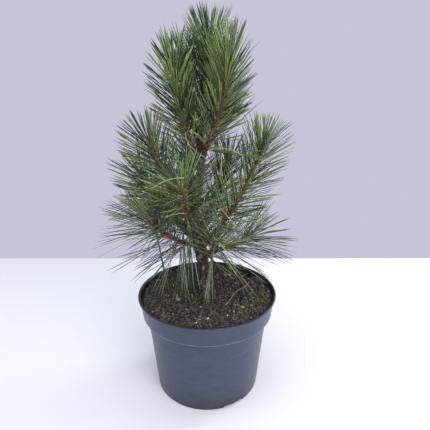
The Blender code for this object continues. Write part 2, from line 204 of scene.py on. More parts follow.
def node_group(name, inputs, outputs):
    """An empty shader node group with named sockets: inputs are (name, kind, start value)."""
    group = bpy.data.node_groups.new(name, "ShaderNodeTree")
    for label, kind, value in inputs:
        socket = group.interface.new_socket(label, in_out="INPUT", socket_type=kind)
        socket.default_value = value
    for label, kind in outputs:
        group.interface.new_socket(label, in_out="OUTPUT", socket_type=kind)
    return group, group.nodes.new("NodeGroupInput"), group.nodes.new("NodeGroupOutput")


def stretched_noise(group, given, per_metre, detail):
    """A cloud fixed to the mesh and drawn out by Stretch, with so many lumps to the metre."""
    place = new_node(group, "ShaderNodeTexCoord")
    drawn = new_node(group, "ShaderNodeVectorMath", operation="MULTIPLY")
    group.links.new(place.outputs["Object"], drawn.inputs[0])
    group.links.new(given.outputs["Stretch"], drawn.inputs[1])
    cloud = new_node(group, "ShaderNodeTexNoise")
    cloud.inputs["Detail"].default_value = detail
    group.links.new(drawn.outputs[0], cloud.inputs["Vector"])
    group.links.new(given.outputs[per_metre], cloud.inputs["Scale"])
    return cloud


def patchy_group():
    """Two colours in soft patches: so many to the metre, drawn out along the axes by Stretch."""
    group, given, result = node_group(
        "patchy colour",
        [
            ("Light", "NodeSocketColor", (1, 1, 1, 1)),
            ("Dark", "NodeSocketColor", (0, 0, 0, 1)),
            ("Patches per Metre", "NodeSocketFloat", 50.0),
            ("Stretch", "NodeSocketVector", (1, 1, 1)),
            ("Softness", "NodeSocketFloat", 0.15),
        ],
        [("Colour", "NodeSocketColor"), ("Share", "NodeSocketFloat")],
    )
    link = group.links.new
    cloud = stretched_noise(group, given, "Patches per Metre", 4.0)
    cloud.inputs["Roughness"].default_value = 0.62
    share = new_node(group, "ShaderNodeMapRange")
    link(cloud.outputs["Fac"], share.inputs["Value"])
    for edge, operation in (("From Min", "SUBTRACT"), ("From Max", "ADD")):
        limit = new_node(group, "ShaderNodeMath", operation=operation)
        limit.inputs[0].default_value = 0.5
        link(given.outputs["Softness"], limit.inputs[1])
        link(limit.outputs[0], share.inputs[edge])
    mixed = new_node(group, "ShaderNodeMix", data_type="RGBA")
    link(share.outputs["Result"], mixed.inputs["Factor"])
    link(given.outputs["Dark"], mixed.inputs["A"])
    link(given.outputs["Light"], mixed.inputs["B"])
    link(mixed.outputs["Result"], result.inputs["Colour"])
    link(share.outputs["Result"], result.inputs["Share"])
    return group


def grain_group():
    """The height of a fine irregular grain, so many grains to the metre."""
    group, given, result = node_group(
        "fine grain",
        [
            ("Grains per Metre", "NodeSocketFloat", 800.0),
            ("Stretch", "NodeSocketVector", (1, 1, 1)),
        ],
        [("Height", "NodeSocketFloat")],
    )
    cloud = stretched_noise(group, given, "Grains per Metre", 3.0)
    group.links.new(cloud.outputs["Fac"], result.inputs["Height"])
    return group


PATCHY = patchy_group()
GRAIN = grain_group()
EVEN = (1, 1, 1)
Patches = namedtuple("Patches", "light dark per_metre softness stretch", defaults=[EVEN])
Grain = namedtuple("Grain", "per_metre depth stretch", defaults=[EVEN])


def patches_in(tree, patches):
    """The group of patchy colours placed in a material with its own values."""
    patch = new_node(tree, "ShaderNodeGroup", node_tree=PATCHY)
    patch.inputs["Light"].default_value = (*patches.light, 1)
    patch.inputs["Dark"].default_value = (*patches.dark, 1)
    patch.inputs["Patches per Metre"].default_value = patches.per_metre
    patch.inputs["Softness"].default_value = patches.softness
    patch.inputs["Stretch"].default_value = patches.stretch
    return patch


def patchy_finish(name, patches, grain, roughness):
    """A material in two patchy colours with a fine grain, rougher where the light colour shows."""
    finish = bpy.data.materials.new(name)
    finish.use_nodes = True
    tree = finish.node_tree
    shader = tree.nodes["Principled BSDF"]
    patch = patches_in(tree, patches)
    patch.name = "patches"
    tree.links.new(patch.outputs["Colour"], shader.inputs["Base Color"])
    spread = new_node(tree, "ShaderNodeMapRange")
    spread.inputs["To Min"].default_value = roughness[0]
    spread.inputs["To Max"].default_value = roughness[1]
    tree.links.new(patch.outputs["Share"], spread.inputs["Value"])
    tree.links.new(spread.outputs["Result"], shader.inputs["Roughness"])
    fine = new_node(tree, "ShaderNodeGroup", node_tree=GRAIN)
    fine.inputs["Grains per Metre"].default_value = grain.per_metre
    fine.inputs["Stretch"].default_value = grain.stretch
    bump = new_node(tree, "ShaderNodeBump", name="bump")
    bump.inputs["Distance"].default_value = grain.depth
    tree.links.new(fine.outputs["Height"], bump.inputs["Height"])
    tree.links.new(bump.outputs["Normal"], shader.inputs["Normal"])
    return finish


def two_part_finish(name, outer, inner, field, grain, roughness):
    """A patchy finish that turns to one inner colour where the mesh's field of that name is 0."""
    finish = patchy_finish(name, outer, grain, roughness)
    tree = finish.node_tree
    held = new_node(tree, "ShaderNodeAttribute", attribute_name=field)
    mixed = new_node(tree, "ShaderNodeMix", data_type="RGBA")
    mixed.inputs["A"].default_value = (*inner, 1)
    tree.links.new(held.outputs["Fac"], mixed.inputs["Factor"])
    tree.links.new(tree.nodes["patches"].outputs["Colour"], mixed.inputs["B"])
    tree.links.new(mixed.outputs["Result"], tree.nodes["Principled BSDF"].inputs["Base Color"])
    return finish


def set_field(piece, name, values):
    """Keeps one number for each point of the mesh under that name."""
    field = piece.data.attributes.new(name, "FLOAT", "POINT")
    field.data.foreach_set("value", np.asarray(values, np.float32))


def skin_faces(rings, sides):
    """Quads and triangles of a closed skin over rings of points, then a foot point and a tip."""
    ring = np.arange(rings - 1)[:, None] * sides
    side = np.arange(sides)
    after = (side + 1) % sides
    quads = np.stack([ring + side, ring + after, ring + sides + after, ring + sides + side], -1)
    last = (rings - 1) * sides
    foot = np.stack([after, side, np.full(sides, rings * sides)], -1)
    tip = np.stack([last + side, last + after, np.full(sides, rings * sides + 1)], -1)
    return quads.reshape(-1, 4), np.vstack([foot, tip])


def new_piece(name, points, quads, triangles, finish):
    """A smooth mesh object from arrays of points and faces."""
    mesh = bpy.data.meshes.new(name)
    corners = np.concatenate([quads.ravel(), triangles.ravel()])
    sizes = np.repeat([4, 3], [len(quads), len(triangles)])
    mesh.vertices.add(len(points))
    mesh.vertices.foreach_set("co", np.asarray(points, np.float32).ravel())
    mesh.loops.add(len(corners))
    mesh.loops.foreach_set("vertex_index", corners.astype(np.int32))
    mesh.polygons.add(len(sizes))
    mesh.polygons.foreach_set("loop_start", (np.cumsum(sizes) - sizes).astype(np.int32))
    mesh.polygons.foreach_set("use_smooth", np.ones(len(sizes), bool))
    mesh.update(calc_edges=True)
    mesh.materials.append(finish)
    obj = bpy.data.objects.new(name, mesh)
    bpy.context.scene.collection.objects.link(obj)
    return obj


def body_radius(height):
    """Outer radius of the pot's body."""
    share = height / (POT_HEIGHT - COLLAR_HEIGHT)
    return BASE_RADIUS + (BODY_TOP_RADIUS - BASE_RADIUS) * share


def collar_radius(height):
    """Outer radius of the pot's collar."""
    foot = POT_HEIGHT - COLLAR_HEIGHT
    share = (height - foot) / (COLLAR_HEIGHT - LIP_HEIGHT)
    return COLLAR_FOOT_RADIUS + (COLLAR_TOP_RADIUS - COLLAR_FOOT_RADIUS) * share


def pot_corners():
    """The shell's section as (radius, height, rounding), from under its middle out, up and in."""
    step = POT_HEIGHT - COLLAR_HEIGHT
    lip = POT_HEIGHT - LIP_HEIGHT
    ring = STACK_RING_HEIGHT
    foot = FOOT_INNER_RADIUS + INNER_CHANNEL_SHIFT
    pad = PAD_RADIUS - INNER_CHANNEL_SHIFT
    return [
        (0, 0, 0),
        (PAD_RADIUS, 0, 0.0008),
        (PAD_RADIUS + CHANNEL_SLOPE, CHANNEL_HEIGHT, 0.0008),
        (FOOT_INNER_RADIUS - CHANNEL_SLOPE, CHANNEL_HEIGHT, 0.0008),
        (FOOT_INNER_RADIUS, 0, 0.0006),
        (BASE_RADIUS, 0, 0.0026),
        # The painted shade towards the foot ends at this ring
        (body_radius(SHADED_HEIGHT), SHADED_HEIGHT, 0),
        (body_radius(ring), ring, 0.0008),
        (body_radius(ring) + STACK_RING_STEP, ring + 0.0008, 0.0004),
        (BODY_TOP_RADIUS, step, 0.0006),
        (COLLAR_FOOT_RADIUS - COLLAR_UNDERCUT, step, 0),
        (COLLAR_FOOT_RADIUS, step, 0.0010),
        (collar_radius(step + COLLAR_UNDERCUT), step + COLLAR_UNDERCUT, 0),
        (COLLAR_TOP_RADIUS, lip, 0.0010),
        (RIM_RADIUS, lip + LIP_SLOPE, 0.0012),
        (RIM_RADIUS, POT_HEIGHT, 0.0013),
        (RIM_RADIUS - RIM_THICKNESS, POT_HEIGHT, 0.0012),
        (COLLAR_TOP_RADIUS - WALL, lip - INNER_LIP_DROP, 0.0015),
        (collar_radius(step + WALL) - WALL, step + WALL, 0.0010),
        (body_radius(step + WALL) - WALL, step + WALL, 0.0006),
        (BASE_RADIUS - WALL, INNER_FOOT_RISE, 0.0010),
        (INNER_FOOT_RADIUS, WALL, 0.0010),
        (foot, WALL, 0),
        (foot - CHANNEL_SLOPE, CHANNEL_HEIGHT + WALL, 0),
        (pad + CHANNEL_SLOPE, CHANNEL_HEIGHT + WALL, 0),
        (pad, WALL, 0),
        (0, WALL, 0),
    ]


def rounded(corners):
    """The outline with an arc of the given radius in each corner."""
    places = [np.array(corner[:2]) for corner in corners]
    outline = [places[0]]
    for before, place, after, corner in zip(places, places[1:], places[2:], corners[1:]):
        radius = corner[2]
        back = (before - place) / np.linalg.norm(before - place)
        on = (after - place) / np.linalg.norm(after - place)
        half = math.acos(np.clip(back @ on, -1, 1)) / 2
        if radius == 0 or half > NEARLY_STRAIGHT:
            outline.append(place)
            continue
        reach = radius / math.tan(half)
        middle = place + (back + on) / np.linalg.norm(back + on) * radius / math.sin(half)
        start = place + back * reach - middle
        end = place + on * reach - middle
        turn = math.pi - 2 * half
        for i in range(ARC_STEPS + 1):
            share = i / ARC_STEPS
            arm = start * math.sin((1 - share) * turn) + end * math.sin(share * turn)
            outline.append(middle + arm / math.sin(turn))
    return np.array(outline + [places[-1]])


def turned(outline, sides):
    """A closed skin turned round the upright axis; the outline starts and ends on it."""
    turns = 2 * math.pi * np.arange(sides) / sides
    out, up = outline[1:-1, 0, None], outline[1:-1, 1, None]
    rings = np.stack([out * np.cos(turns), out * np.sin(turns), up + 0 * turns], -1)
    ends = [(0, 0, outline[0, 1]), (0, 0, outline[-1, 1])]
    return np.vstack([rings.reshape(-1, 3), ends]), *skin_faces(len(rings), sides)


def cutter(kind, place, turn, size):
    """A hidden round or square tool for the pot's drain holes and foot notches."""
    bm = bmesh.new()
    if kind == "round":
        bmesh.ops.create_cone(bm, cap_ends=True, segments=32, radius1=0.5, radius2=0.5, depth=1)
    else:
        bmesh.ops.create_cube(bm, size=1)
    bmesh.ops.scale(bm, vec=size, verts=bm.verts)
    mesh = bpy.data.meshes.new("cutter")
    bm.to_mesh(mesh)
    bm.free()
    tool = bpy.data.objects.new("cutter", mesh)
    tool.location = place
    tool.rotation_euler.z = turn
    return tool


def cut_away(obj, tools):
    """Subtracts the tools from the object's mesh and removes them."""
    group = bpy.data.collections.new("cutters")
    bpy.context.scene.collection.children.link(group)
    for tool in tools:
        group.objects.link(tool)
    cut = obj.modifiers.new("cut", "BOOLEAN")
    cut.operand_type = "COLLECTION"
    cut.collection = group
    cut.operation = "DIFFERENCE"
    graph = bpy.context.evaluated_depsgraph_get()
    mesh = bpy.data.meshes.new_from_object(obj.evaluated_get(graph))
    obj.modifiers.clear()
    obj.data = mesh
    for tool in tools:
        bpy.data.objects.remove(tool)
    bpy.data.collections.remove(group)


def scuff_and_highlight(finish):
    """Lays pale level rub marks over the plastic: a few faint ones, and more on the collar's low edge,
    where the pale is also a painted highlight.
    """
    tree = finish.node_tree
    marks = Patches((1, 1, 1), (0, 0, 0), per_metre=55, softness=0.22, stretch=(1, 1, 3))
    streaks = patches_in(tree, marks)
    edge = new_node(tree, "ShaderNodeAttribute", attribute_name="edge")
    reach = new_node(tree, "ShaderNodeMath", operation="ADD")
    reach.inputs[1].default_value = FAINT_RUBBING
    tree.links.new(edge.outputs["Fac"], reach.inputs[0])
    share = new_node(tree, "ShaderNodeMath", operation="MULTIPLY")
    tree.links.new(reach.outputs[0], share.inputs[0])
    tree.links.new(streaks.outputs["Share"], share.inputs[1])
    shader = tree.nodes["Principled BSDF"]
    colour = shader.inputs["Base Color"].links[0].from_socket
    rubbed_and_highlit = new_node(tree, "ShaderNodeMix", data_type="RGBA")
    rubbed_and_highlit.inputs["B"].default_value = (*PLASTIC_RUB_AND_HIGHLIGHT, 1)
    tree.links.new(share.outputs[0], rubbed_and_highlit.inputs["Factor"])
    tree.links.new(colour, rubbed_and_highlit.inputs["A"])
    tree.links.new(rubbed_and_highlit.outputs["Result"], shader.inputs["Base Color"])


def set_wear_and_painted_light(pot):
    """Marks the pot's sun-greyed outside, painted darker as shade near its foot, and its worn,
    highlighted collar edge.
    """
    step = POT_HEIGHT - COLLAR_HEIGHT
    places = np.empty(3 * len(pot.data.vertices))
    pot.data.vertices.foreach_get("co", places)
    x, y, z = places.reshape(-1, 3).T
    out = np.hypot(x, y)
    surface = np.where(z < step + STEP_ZONE, body_radius(z), collar_radius(z))
    outside = out > surface - SKIN_DEPTH
    outside |= (z < CHANNEL_HEIGHT + CHANNEL_ZONE) & (out < INNER_FOOT_RADIUS)
    outside &= z < POT_HEIGHT - TOP_ZONE
    # The outside turns darker towards the foot as painted shade; the inside and the lip's top keep the
    # black, partly as painted shade
    foot_shading = SHADED_FOOT + (1 - SHADED_FOOT) * np.clip(z / SHADED_HEIGHT, 0, 1)
    set_field(pot, "faded_and_lit", outside * foot_shading)
    # The collar's low edge, pale from wear and from a painted highlight
    set_field(pot, "edge", (np.abs(z - step) < RUBBED_HIGHLIGHT_EDGE) & (out > COLLAR_FOOT_RADIUS - RUBBED_HIGHLIGHT_EDGE))


def build_pot():
    patches = Patches(PLASTIC_WORN, PLASTIC, per_metre=45, softness=0.30, stretch=(1, 1, 1.8))
    grain = Grain(per_metre=900, depth=0.00010)
    finish = two_part_finish(
        "black plastic", patches, PLASTIC_INSIDE_AND_SHADE, "faded_and_lit", grain, roughness=(0.31, 0.43)
    )
    scuff_and_highlight(finish)
    pot = new_piece("pot_shell", *turned(rounded(pot_corners()), POT_SIDES), finish)
    channel = (PAD_RADIUS + FOOT_INNER_RADIUS) / 2
    hole = (2 * DRAIN_HOLE_RADIUS, 2 * DRAIN_HOLE_RADIUS, DRAIN_CUT_DEPTH)
    tools = []
    for i in range(DRAIN_HOLES):
        turn = 2 * math.pi * i / DRAIN_HOLES
        place = (channel * math.cos(turn), channel * math.sin(turn), CHANNEL_HEIGHT)
        tools.append(cutter("round", place, 0, hole))
    for i in range(NOTCHES):
        turn = math.radians(NOTCH_ANGLE + 360 * i / NOTCHES)
        place = (BASE_RADIUS * math.cos(turn), BASE_RADIUS * math.sin(turn), 0)
        tools.append(cutter("square", place, turn, (NOTCH_LENGTH, NOTCH_WIDTH, 2 * NOTCH_HEIGHT)))
    cut_away(pot, tools)
    set_wear_and_painted_light(pot)
    pot.data.set_sharp_from_angle(angle=SHARP_ANGLE)
    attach(pot, "root")
    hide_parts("pot")


build_pot()

# The peat: dark potting mix that fills the pot to just under its lip. Its top is lumpy and rises
# towards the back, and the rest of it is hidden in the pot.
PEAT_TOP = 0.1610
PEAT_BACK_RISE = 0.0048
PEAT_CLEAR = 0.0004
EDGE_DIP = 0.0036
EDGE_DIP_WIDTH = 0.0050
EDGE_DROP = 0.0040
PEAT_RINGS = 80
PEAT_SIDES = 250
# How high and how wide the soil's swellings, clods and crumbs are
SWELL, SWELL_SIZE = 0.0030, 0.034
CLOD, CLOD_SIZE = 0.0078, 0.0105
CRUMB, CRUMB_SIZE = 0.0054, 0.0042
# Pits in the peat: where, how deep and how far across from the middle
PITS = (
    (0.0740, 0.0700, 0.0100, 0.0170),
    (0.0745, -0.0630, 0.0050, 0.0060),
    (-0.0190, -0.0725, 0.0040, 0.0055),
    (-0.0700, 0.0560, 0.0045, 0.0080),
)
PEAT_BROWN = (0.082, 0.070, 0.058)
PEAT_BLACK = (0.006, 0.005, 0.0045)


def cloudy(points, size, octaves):
    """Smooth noise of about -0.5 to 0.5 at each point, in lumps of that size."""
    return np.array([noise.fractal(Vector(point) / size, 1.0, 2.0, octaves) for point in points])


def peat_height(x, y):
    """Height of the peat's top."""
    flat = np.stack([x, y, np.zeros_like(x)], -1)
    share = np.hypot(x, y) / COLLAR_FOOT_RADIUS
    height = PEAT_TOP + PEAT_BACK_RISE * share * (share + y / COLLAR_FOOT_RADIUS) / 2
    height += SWELL * cloudy(flat, SWELL_SIZE, 1) + CLOD * cloudy(flat, CLOD_SIZE, 2)
    from_wall = COLLAR_FOOT_RADIUS - np.hypot(x, y)
    height -= EDGE_DIP * np.exp(-((from_wall / EDGE_DIP_WIDTH) ** 2))
    for pit_x, pit_y, depth, radius in PITS:
        height -= depth * np.exp(-((x - pit_x) ** 2 + (y - pit_y) ** 2) / radius**2)
    return height + CRUMB * cloudy(flat, CRUMB_SIZE, 1)


def build_peat():
    ledge = POT_HEIGHT - COLLAR_HEIGHT + WALL + PEAT_CLEAR
    bottom = CHANNEL_HEIGHT + WALL + PEAT_CLEAR
    edge = PEAT_TOP - EDGE_DROP
    clear = WALL + PEAT_CLEAR
    side = [
        (body_radius(bottom) - clear, bottom),
        (body_radius(ledge) - clear, ledge),
        (collar_radius(ledge) - clear, ledge),
        (collar_radius(edge) - clear, edge),
    ]
    top = [((collar_radius(edge) - clear) * (1 - i / PEAT_RINGS), 0) for i in range(PEAT_RINGS)]
    outline = np.array([(0, bottom), *side, *top, (0, PEAT_TOP)])
    points, quads, triangles = turned(outline, PEAT_SIDES)
    first = len(side) * PEAT_SIDES
    crown = points[first:-2]
    crown[:, 2] = peat_height(crown[:, 0], crown[:, 1])
    patches = Patches(PEAT_BROWN, PEAT_BLACK, per_metre=260, softness=0.14)
    grain = Grain(per_metre=1400, depth=0.0012)
    finish = patchy_finish("peat", patches, grain, roughness=(0.85, 0.98))
    peat = new_piece("peat", points, quads, triangles, finish)
    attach(peat, "root")
    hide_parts("soil")


build_peat()

# What lies on the peat: crumbs of it, bits of bark and wood, lumps of grey bark, a little moss near
# the rim, thin root fibres, white perlite, a dry twig, a curled shaving and old needles that have
# dropped. All of it lies loose, pressed in by watering.
LITTER_SEED = 11
LITTER_RADIUS = 0.1050
# Crumbs: how many, their half sizes, how many more lie in front, colours
CRUMB_KINDS = (
    ("peat_crumbs", 1800, (0.0010, 0.0038), 0.0, (0.074, 0.060, 0.050), (0.006, 0.005, 0.0045)),
    ("bark_crumbs", 1000, (0.0008, 0.0030), 0.5, (0.190, 0.136, 0.104), (0.028, 0.020, 0.016)),
    ("pale_crumbs", 560, (0.0006, 0.0019), 0.9, (0.380, 0.310, 0.240), (0.130, 0.104, 0.084)),
)
# Flat bits: how many, their lengths, width as a share of it, how many more lie in front, colours
BIT_KINDS = (
    ("bark_chips", 260, (0.0034, 0.0095), 0.42, 0.0, (0.190, 0.140, 0.108), (0.036, 0.026, 0.021)),
    ("wood_bits", 620, (0.0026, 0.0072), 0.24, 0.8, (0.420, 0.330, 0.235), (0.100, 0.072, 0.052)),
)
BIT_THICKNESS = 0.16
BIT_RIM_GAP = 0.004
BIT_LIFT = 0.0007
# Spreads of moss, perlite grains and lumps of grey bark: where on the peat, and how large
MOSS = ((0.0880, -0.0270, 0.0130), (0.0710, -0.0430, 0.0090))
PERLITE = (
    (-0.0338, -0.0521, 0.0013),
    (-0.0312, -0.0518, 0.0009),
    (-0.0285, -0.0524, 0.0012),
    (-0.0108, -0.0497, 0.0014),
    (0.0306, -0.0690, 0.0016),
    (0.0008, -0.0817, 0.0014),
    (-0.0160, -0.0953, 0.0015),
    (-0.0600, 0.0280, 0.0012),
    (0.0420, 0.0630, 0.0013),
    (-0.0120, 0.0790, 0.0015),
    (0.0700, -0.0490, 0.0010),
)
GREY_LUMPS = (
    (-0.0478, -0.0255, 0.0047),
    (0.0545, -0.0490, 0.0044),
    (0.0190, -0.0140, 0.0035),
    (0.0330, 0.0560, 0.0036),
)
GREY_LUMP_SHAPE = np.array([1.0, 0.75, 0.55])
GREY_LUMP_LIFT = 0.0022
GREY_LUMP_ROUGH, GREY_LUMP_ROUGH_SIZE = 0.0009, 0.003
MOSS_TUFTS = 280
MOSS_TUFT_SIZE = (0.0007, 0.0019)
MOSS_LIFT = 0.0011
# The dry twig and two root strands: both ends on the peat, sideways bow, half width
TWIGS = (
    (0.0275, -0.0535, 0.0729, 0.0162, 0.0035, 0.00048),
    (0.0471, 0.0468, 0.0759, 0.0602, -0.0040, 0.00040),
    (0.0299, -0.0050, 0.0459, -0.0174, 0.0034, 0.00034),
)
TWIG_STATIONS = 22
TWIG_KINK = 0.45
TWIG_LIFT = 0.0004
TWIG_RISE = 0.0022
# The curled shaving: where it lies, how far it turns, its size, and its half width at each end
CURL_PLACE = (0.0391, -0.0679)
CURL_TURN = 1.55 * math.pi
CURL_RADIUS = 0.0026
CURL_LIFT = 0.0008
CURL_RISE = 0.0016
CURL_HALF_WIDTHS = (0.0011, 0.0008)
CURL_STATIONS = 26
CURL_SECTION = np.array([(1.0, 0.28), (-1.0, 0.28), (-1.0, -0.28), (1.0, -0.28)])
FIBRES = 150
FIBRE_LENGTH = (0.008, 0.036)
FIBRE_RADIUS = 0.00025
FIBRE_BOW = 0.16
FIBRE_LIFT = 0.0011
FALLEN_NEEDLES = 34
FALLEN_RIM_GAP = 0.020
FALLEN_LENGTH = (0.022, 0.055)
FALLEN_HALF_WIDTH = 0.00050
FALLEN_BOW = 0.09
FALLEN_LIFT = 0.0015
LYING_STATIONS = 9
# How much of the soil's unevenness a thin line follows, and how far lumps lean
SUNK_SHARE = 0.35
TILT = 0.25
NO_QUADS = np.zeros((0, 4), int)
UP = np.array([0.0, 0.0, 1.0])


def repeated(faces, copies, stride):
    """The faces of one small mesh repeated for copies whose points follow each other."""
    shift = stride * np.arange(copies)[:, None, None]
    return (faces[None] + shift).reshape(-1, faces.shape[1])


def ball(subdivisions):
    """Points and triangles of a round ball of radius 1."""
    bm = bmesh.new()
    bmesh.ops.create_icosphere(bm, subdivisions=subdivisions, radius=1)
    points = np.array([vert.co for vert in bm.verts])
    triangles = np.array([[vert.index for vert in face.verts] for face in bm.faces])
    bm.free()
    return points, triangles


def lumps(draw, places, sizes, uneven, subdivisions=1):
    """Irregular lumps at the places: sizes are their half lengths along, across and up."""
    count = len(places)
    points, triangles = ball(subdivisions)
    heading = draw.uniform(0, 2 * math.pi, count)
    dip = draw.normal(0, TILT, count)
    along = np.stack([np.cos(heading), np.sin(heading), dip], -1)
    along /= np.linalg.norm(along, axis=1)[:, None]
    up = np.stack([draw.normal(0, TILT, count), draw.normal(0, TILT, count), np.ones(count)], -1)
    across = np.cross(up, along)
    across /= np.linalg.norm(across, axis=1)[:, None]
    axes = np.stack([along, across, np.cross(along, across)], 1)
    shape = points[None] * (1 + draw.uniform(-uneven, uneven, (count, len(points), 1)))
    shape = np.einsum("nvk,nkc->nvc", shape * sizes[:, None, :], axes) + places[:, None, :]
    return shape.reshape(-1, 3), NO_QUADS, repeated(triangles, count, len(points))


def tubes(lines, widths, section, aside):
    """Closed tubes along many lines of points, as wide as widths says at each point. The section is
    measured along aside and across it. Fewer widths or asides than lines are used again."""
    count, stations = lines.shape[:2]
    widths = np.broadcast_to(widths, (count, stations))
    aside = np.broadcast_to(aside, (count, 3))
    along = np.gradient(lines, axis=1)
    along /= np.linalg.norm(along, axis=2)[..., None]
    first = aside[:, None, :] - (aside[:, None, :] * along).sum(2)[..., None] * along
    first /= np.linalg.norm(first, axis=2)[..., None]
    second = np.cross(along, first)
    arms = section[:, 0, None] * first[:, :, None, :] + section[:, 1, None] * second[:, :, None, :]
    rings = lines[:, :, None, :] + widths[:, :, None, None] * arms
    ends = lines[:, [0, -1]]
    points = np.concatenate([rings.reshape(count, -1, 3), ends], axis=1)
    quads, triangles = skin_faces(stations, len(section))
    stride = points.shape[1]
    return points.reshape(-1, 3), repeated(quads, count, stride), repeated(triangles, count, stride)


def round_section(corners):
    turns = 2 * math.pi * np.arange(corners) / corners
    return np.stack([np.cos(turns), np.sin(turns)], -1)


def lying_lines(draw, starts, headings, lengths, bow, lift):
    """Bowed lines that lie on the peat, without those that would reach over the rim."""
    shares = np.linspace(0, 1, LYING_STATIONS)
    along = np.stack([np.cos(headings), np.sin(headings)], -1)[:, None, :]
    side = np.stack([-np.sin(headings), np.cos(headings)], -1)[:, None, :]
    bows = draw.uniform(-bow, bow, len(starts))[:, None, None]
    reach = lengths[:, None, None] * shares[None, :, None]
    flat = starts[:, None, :] + reach * along
    flat = flat + bows * lengths[:, None, None] * np.sin(math.pi * shares)[None, :, None] * side
    flat = flat[np.linalg.norm(flat, axis=2).max(1) <= LITTER_RADIUS]
    height = peat_height(flat[..., 0].ravel(), flat[..., 1].ravel()).reshape(flat.shape[:2])
    level = height.mean(1)[:, None]
    height = np.maximum(height, level) * SUNK_SHARE + level * (1 - SUNK_SHARE) + lift
    return np.concatenate([flat, height[..., None]], -1)


def spots(draw, count, radius=LITTER_RADIUS):
    """Even random places on the peat."""
    out = radius * np.sqrt(draw.uniform(0.015, 1, count))
    turn = draw.uniform(0, 2 * math.pi, count)
    return out * np.cos(turn), out * np.sin(turn)


def more_in_front(draw, forward, x, y):
    """Drops that share of the places at the back of the pot, and none at its front."""
    kept = draw.uniform(0, 1, len(x)) > forward * (0.5 + 0.5 * y / LITTER_RADIUS)
    return x[kept], y[kept]


def on_peat(x, y, lift):
    """Points that far over the peat."""
    return np.stack([x, y, peat_height(x, y) + lift], -1)


def lay(name, shape, patches, grain, roughness):
    """Makes one kind of litter in its finish and attaches it to the root."""
    piece = new_piece(name, *shape, patchy_finish(name.replace("_", " "), patches, grain, roughness))
    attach(piece, "root")


def build_crumbs(draw):
    for name, count, (least, most), forward, light, dark in CRUMB_KINDS:
        x, y = more_in_front(draw, forward, *spots(draw, count))
        half = least + (most - least) * draw.uniform(0, 1, len(x)) ** 2.5
        sizes = half[:, None] * draw.uniform(0.55, 1.25, (len(x), 3))
        shape = lumps(draw, on_peat(x, y, 0.25 * half), sizes, 0.3)
        patches = Patches(light, dark, per_metre=210, softness=0.12)
        lay(name, shape, patches, Grain(per_metre=2500, depth=0.0003), roughness=(0.8, 0.95))


def build_bits(draw):
    for name, count, lengths, wide, forward, light, dark in BIT_KINDS:
        x, y = more_in_front(draw, forward, *spots(draw, count, LITTER_RADIUS - BIT_RIM_GAP))
        half = draw.uniform(*lengths, len(x)) / 2
        across = half * wide * draw.uniform(0.6, 1.4, len(x))
        sizes = np.stack([half, across, half * BIT_THICKNESS], -1)
        shape = lumps(draw, on_peat(x, y, BIT_LIFT), sizes, 0.28)
        patches = Patches(light, dark, per_metre=130, softness=0.12, stretch=(1, 1, 3))
        grain = Grain(per_metre=1800, depth=0.0004, stretch=(1, 4, 1))
        lay(name, shape, patches, grain, roughness=(0.75, 0.9))


def build_moss(draw):
    middle = np.array(MOSS)[draw.integers(0, len(MOSS), MOSS_TUFTS)]
    off = draw.normal(0, 0.5, (MOSS_TUFTS, 2)) * middle[:, 2, None]
    x, y = (middle[:, :2] + off).T
    inside = np.hypot(x, y) < LITTER_RADIUS
    x, y = x[inside], y[inside]
    sizes = draw.uniform(*MOSS_TUFT_SIZE, (len(x), 3))
    shape = lumps(draw, on_peat(x, y, MOSS_LIFT), sizes, 0.35)
    patches = Patches((0.150, 0.128, 0.052), (0.056, 0.048, 0.024), per_metre=300, softness=0.13)
    lay("moss", shape, patches, Grain(per_metre=2800, depth=0.0006), roughness=(0.85, 0.97))


def build_lumps(draw):
    x, y, half = np.array(GREY_LUMPS).T
    sizes = half[:, None] * GREY_LUMP_SHAPE
    points, quads, triangles = lumps(draw, on_peat(x, y, GREY_LUMP_LIFT), sizes, 0.14, 3)
    points += GREY_LUMP_ROUGH * cloudy(points, GREY_LUMP_ROUGH_SIZE, 2)[:, None]
    patches = Patches((0.250, 0.228, 0.220), (0.085, 0.073, 0.068), per_metre=240, softness=0.13)
    shape = (points, quads, triangles)
    lay("grey_lumps", shape, patches, Grain(per_metre=1500, depth=0.0006), roughness=(0.8, 0.95))


def build_perlite(draw):
    x, y, half = np.array(PERLITE).T
    sizes = half[:, None] * draw.uniform(0.6, 1.3, (len(x), 3))
    shape = lumps(draw, on_peat(x, y, 1.1 * half), sizes, 0.30, 2)
    patches = Patches((0.80, 0.77, 0.74), (0.52, 0.47, 0.43), per_metre=420, softness=0.14)
    lay("perlite", shape, patches, Grain(per_metre=2600, depth=0.0004), roughness=(0.7, 0.9))


def build_fibres(draw):
    starts = np.stack(spots(draw, FIBRES), -1)
    headings = draw.uniform(0, 2 * math.pi, FIBRES)
    lengths = draw.uniform(*FIBRE_LENGTH, FIBRES) * draw.uniform(0.4, 1, FIBRES)
    lines = lying_lines(draw, starts, headings, lengths, FIBRE_BOW, FIBRE_LIFT)
    widths = FIBRE_RADIUS * draw.uniform(0.6, 1.4, (len(lines), 1))
    shape = tubes(lines, widths, round_section(4), UP)
    patches = Patches((0.200, 0.150, 0.115), (0.080, 0.058, 0.044), per_metre=90, softness=0.12)
    lay("root_fibres", shape, patches, Grain(per_metre=3000, depth=0.0001), roughness=(0.7, 0.9))


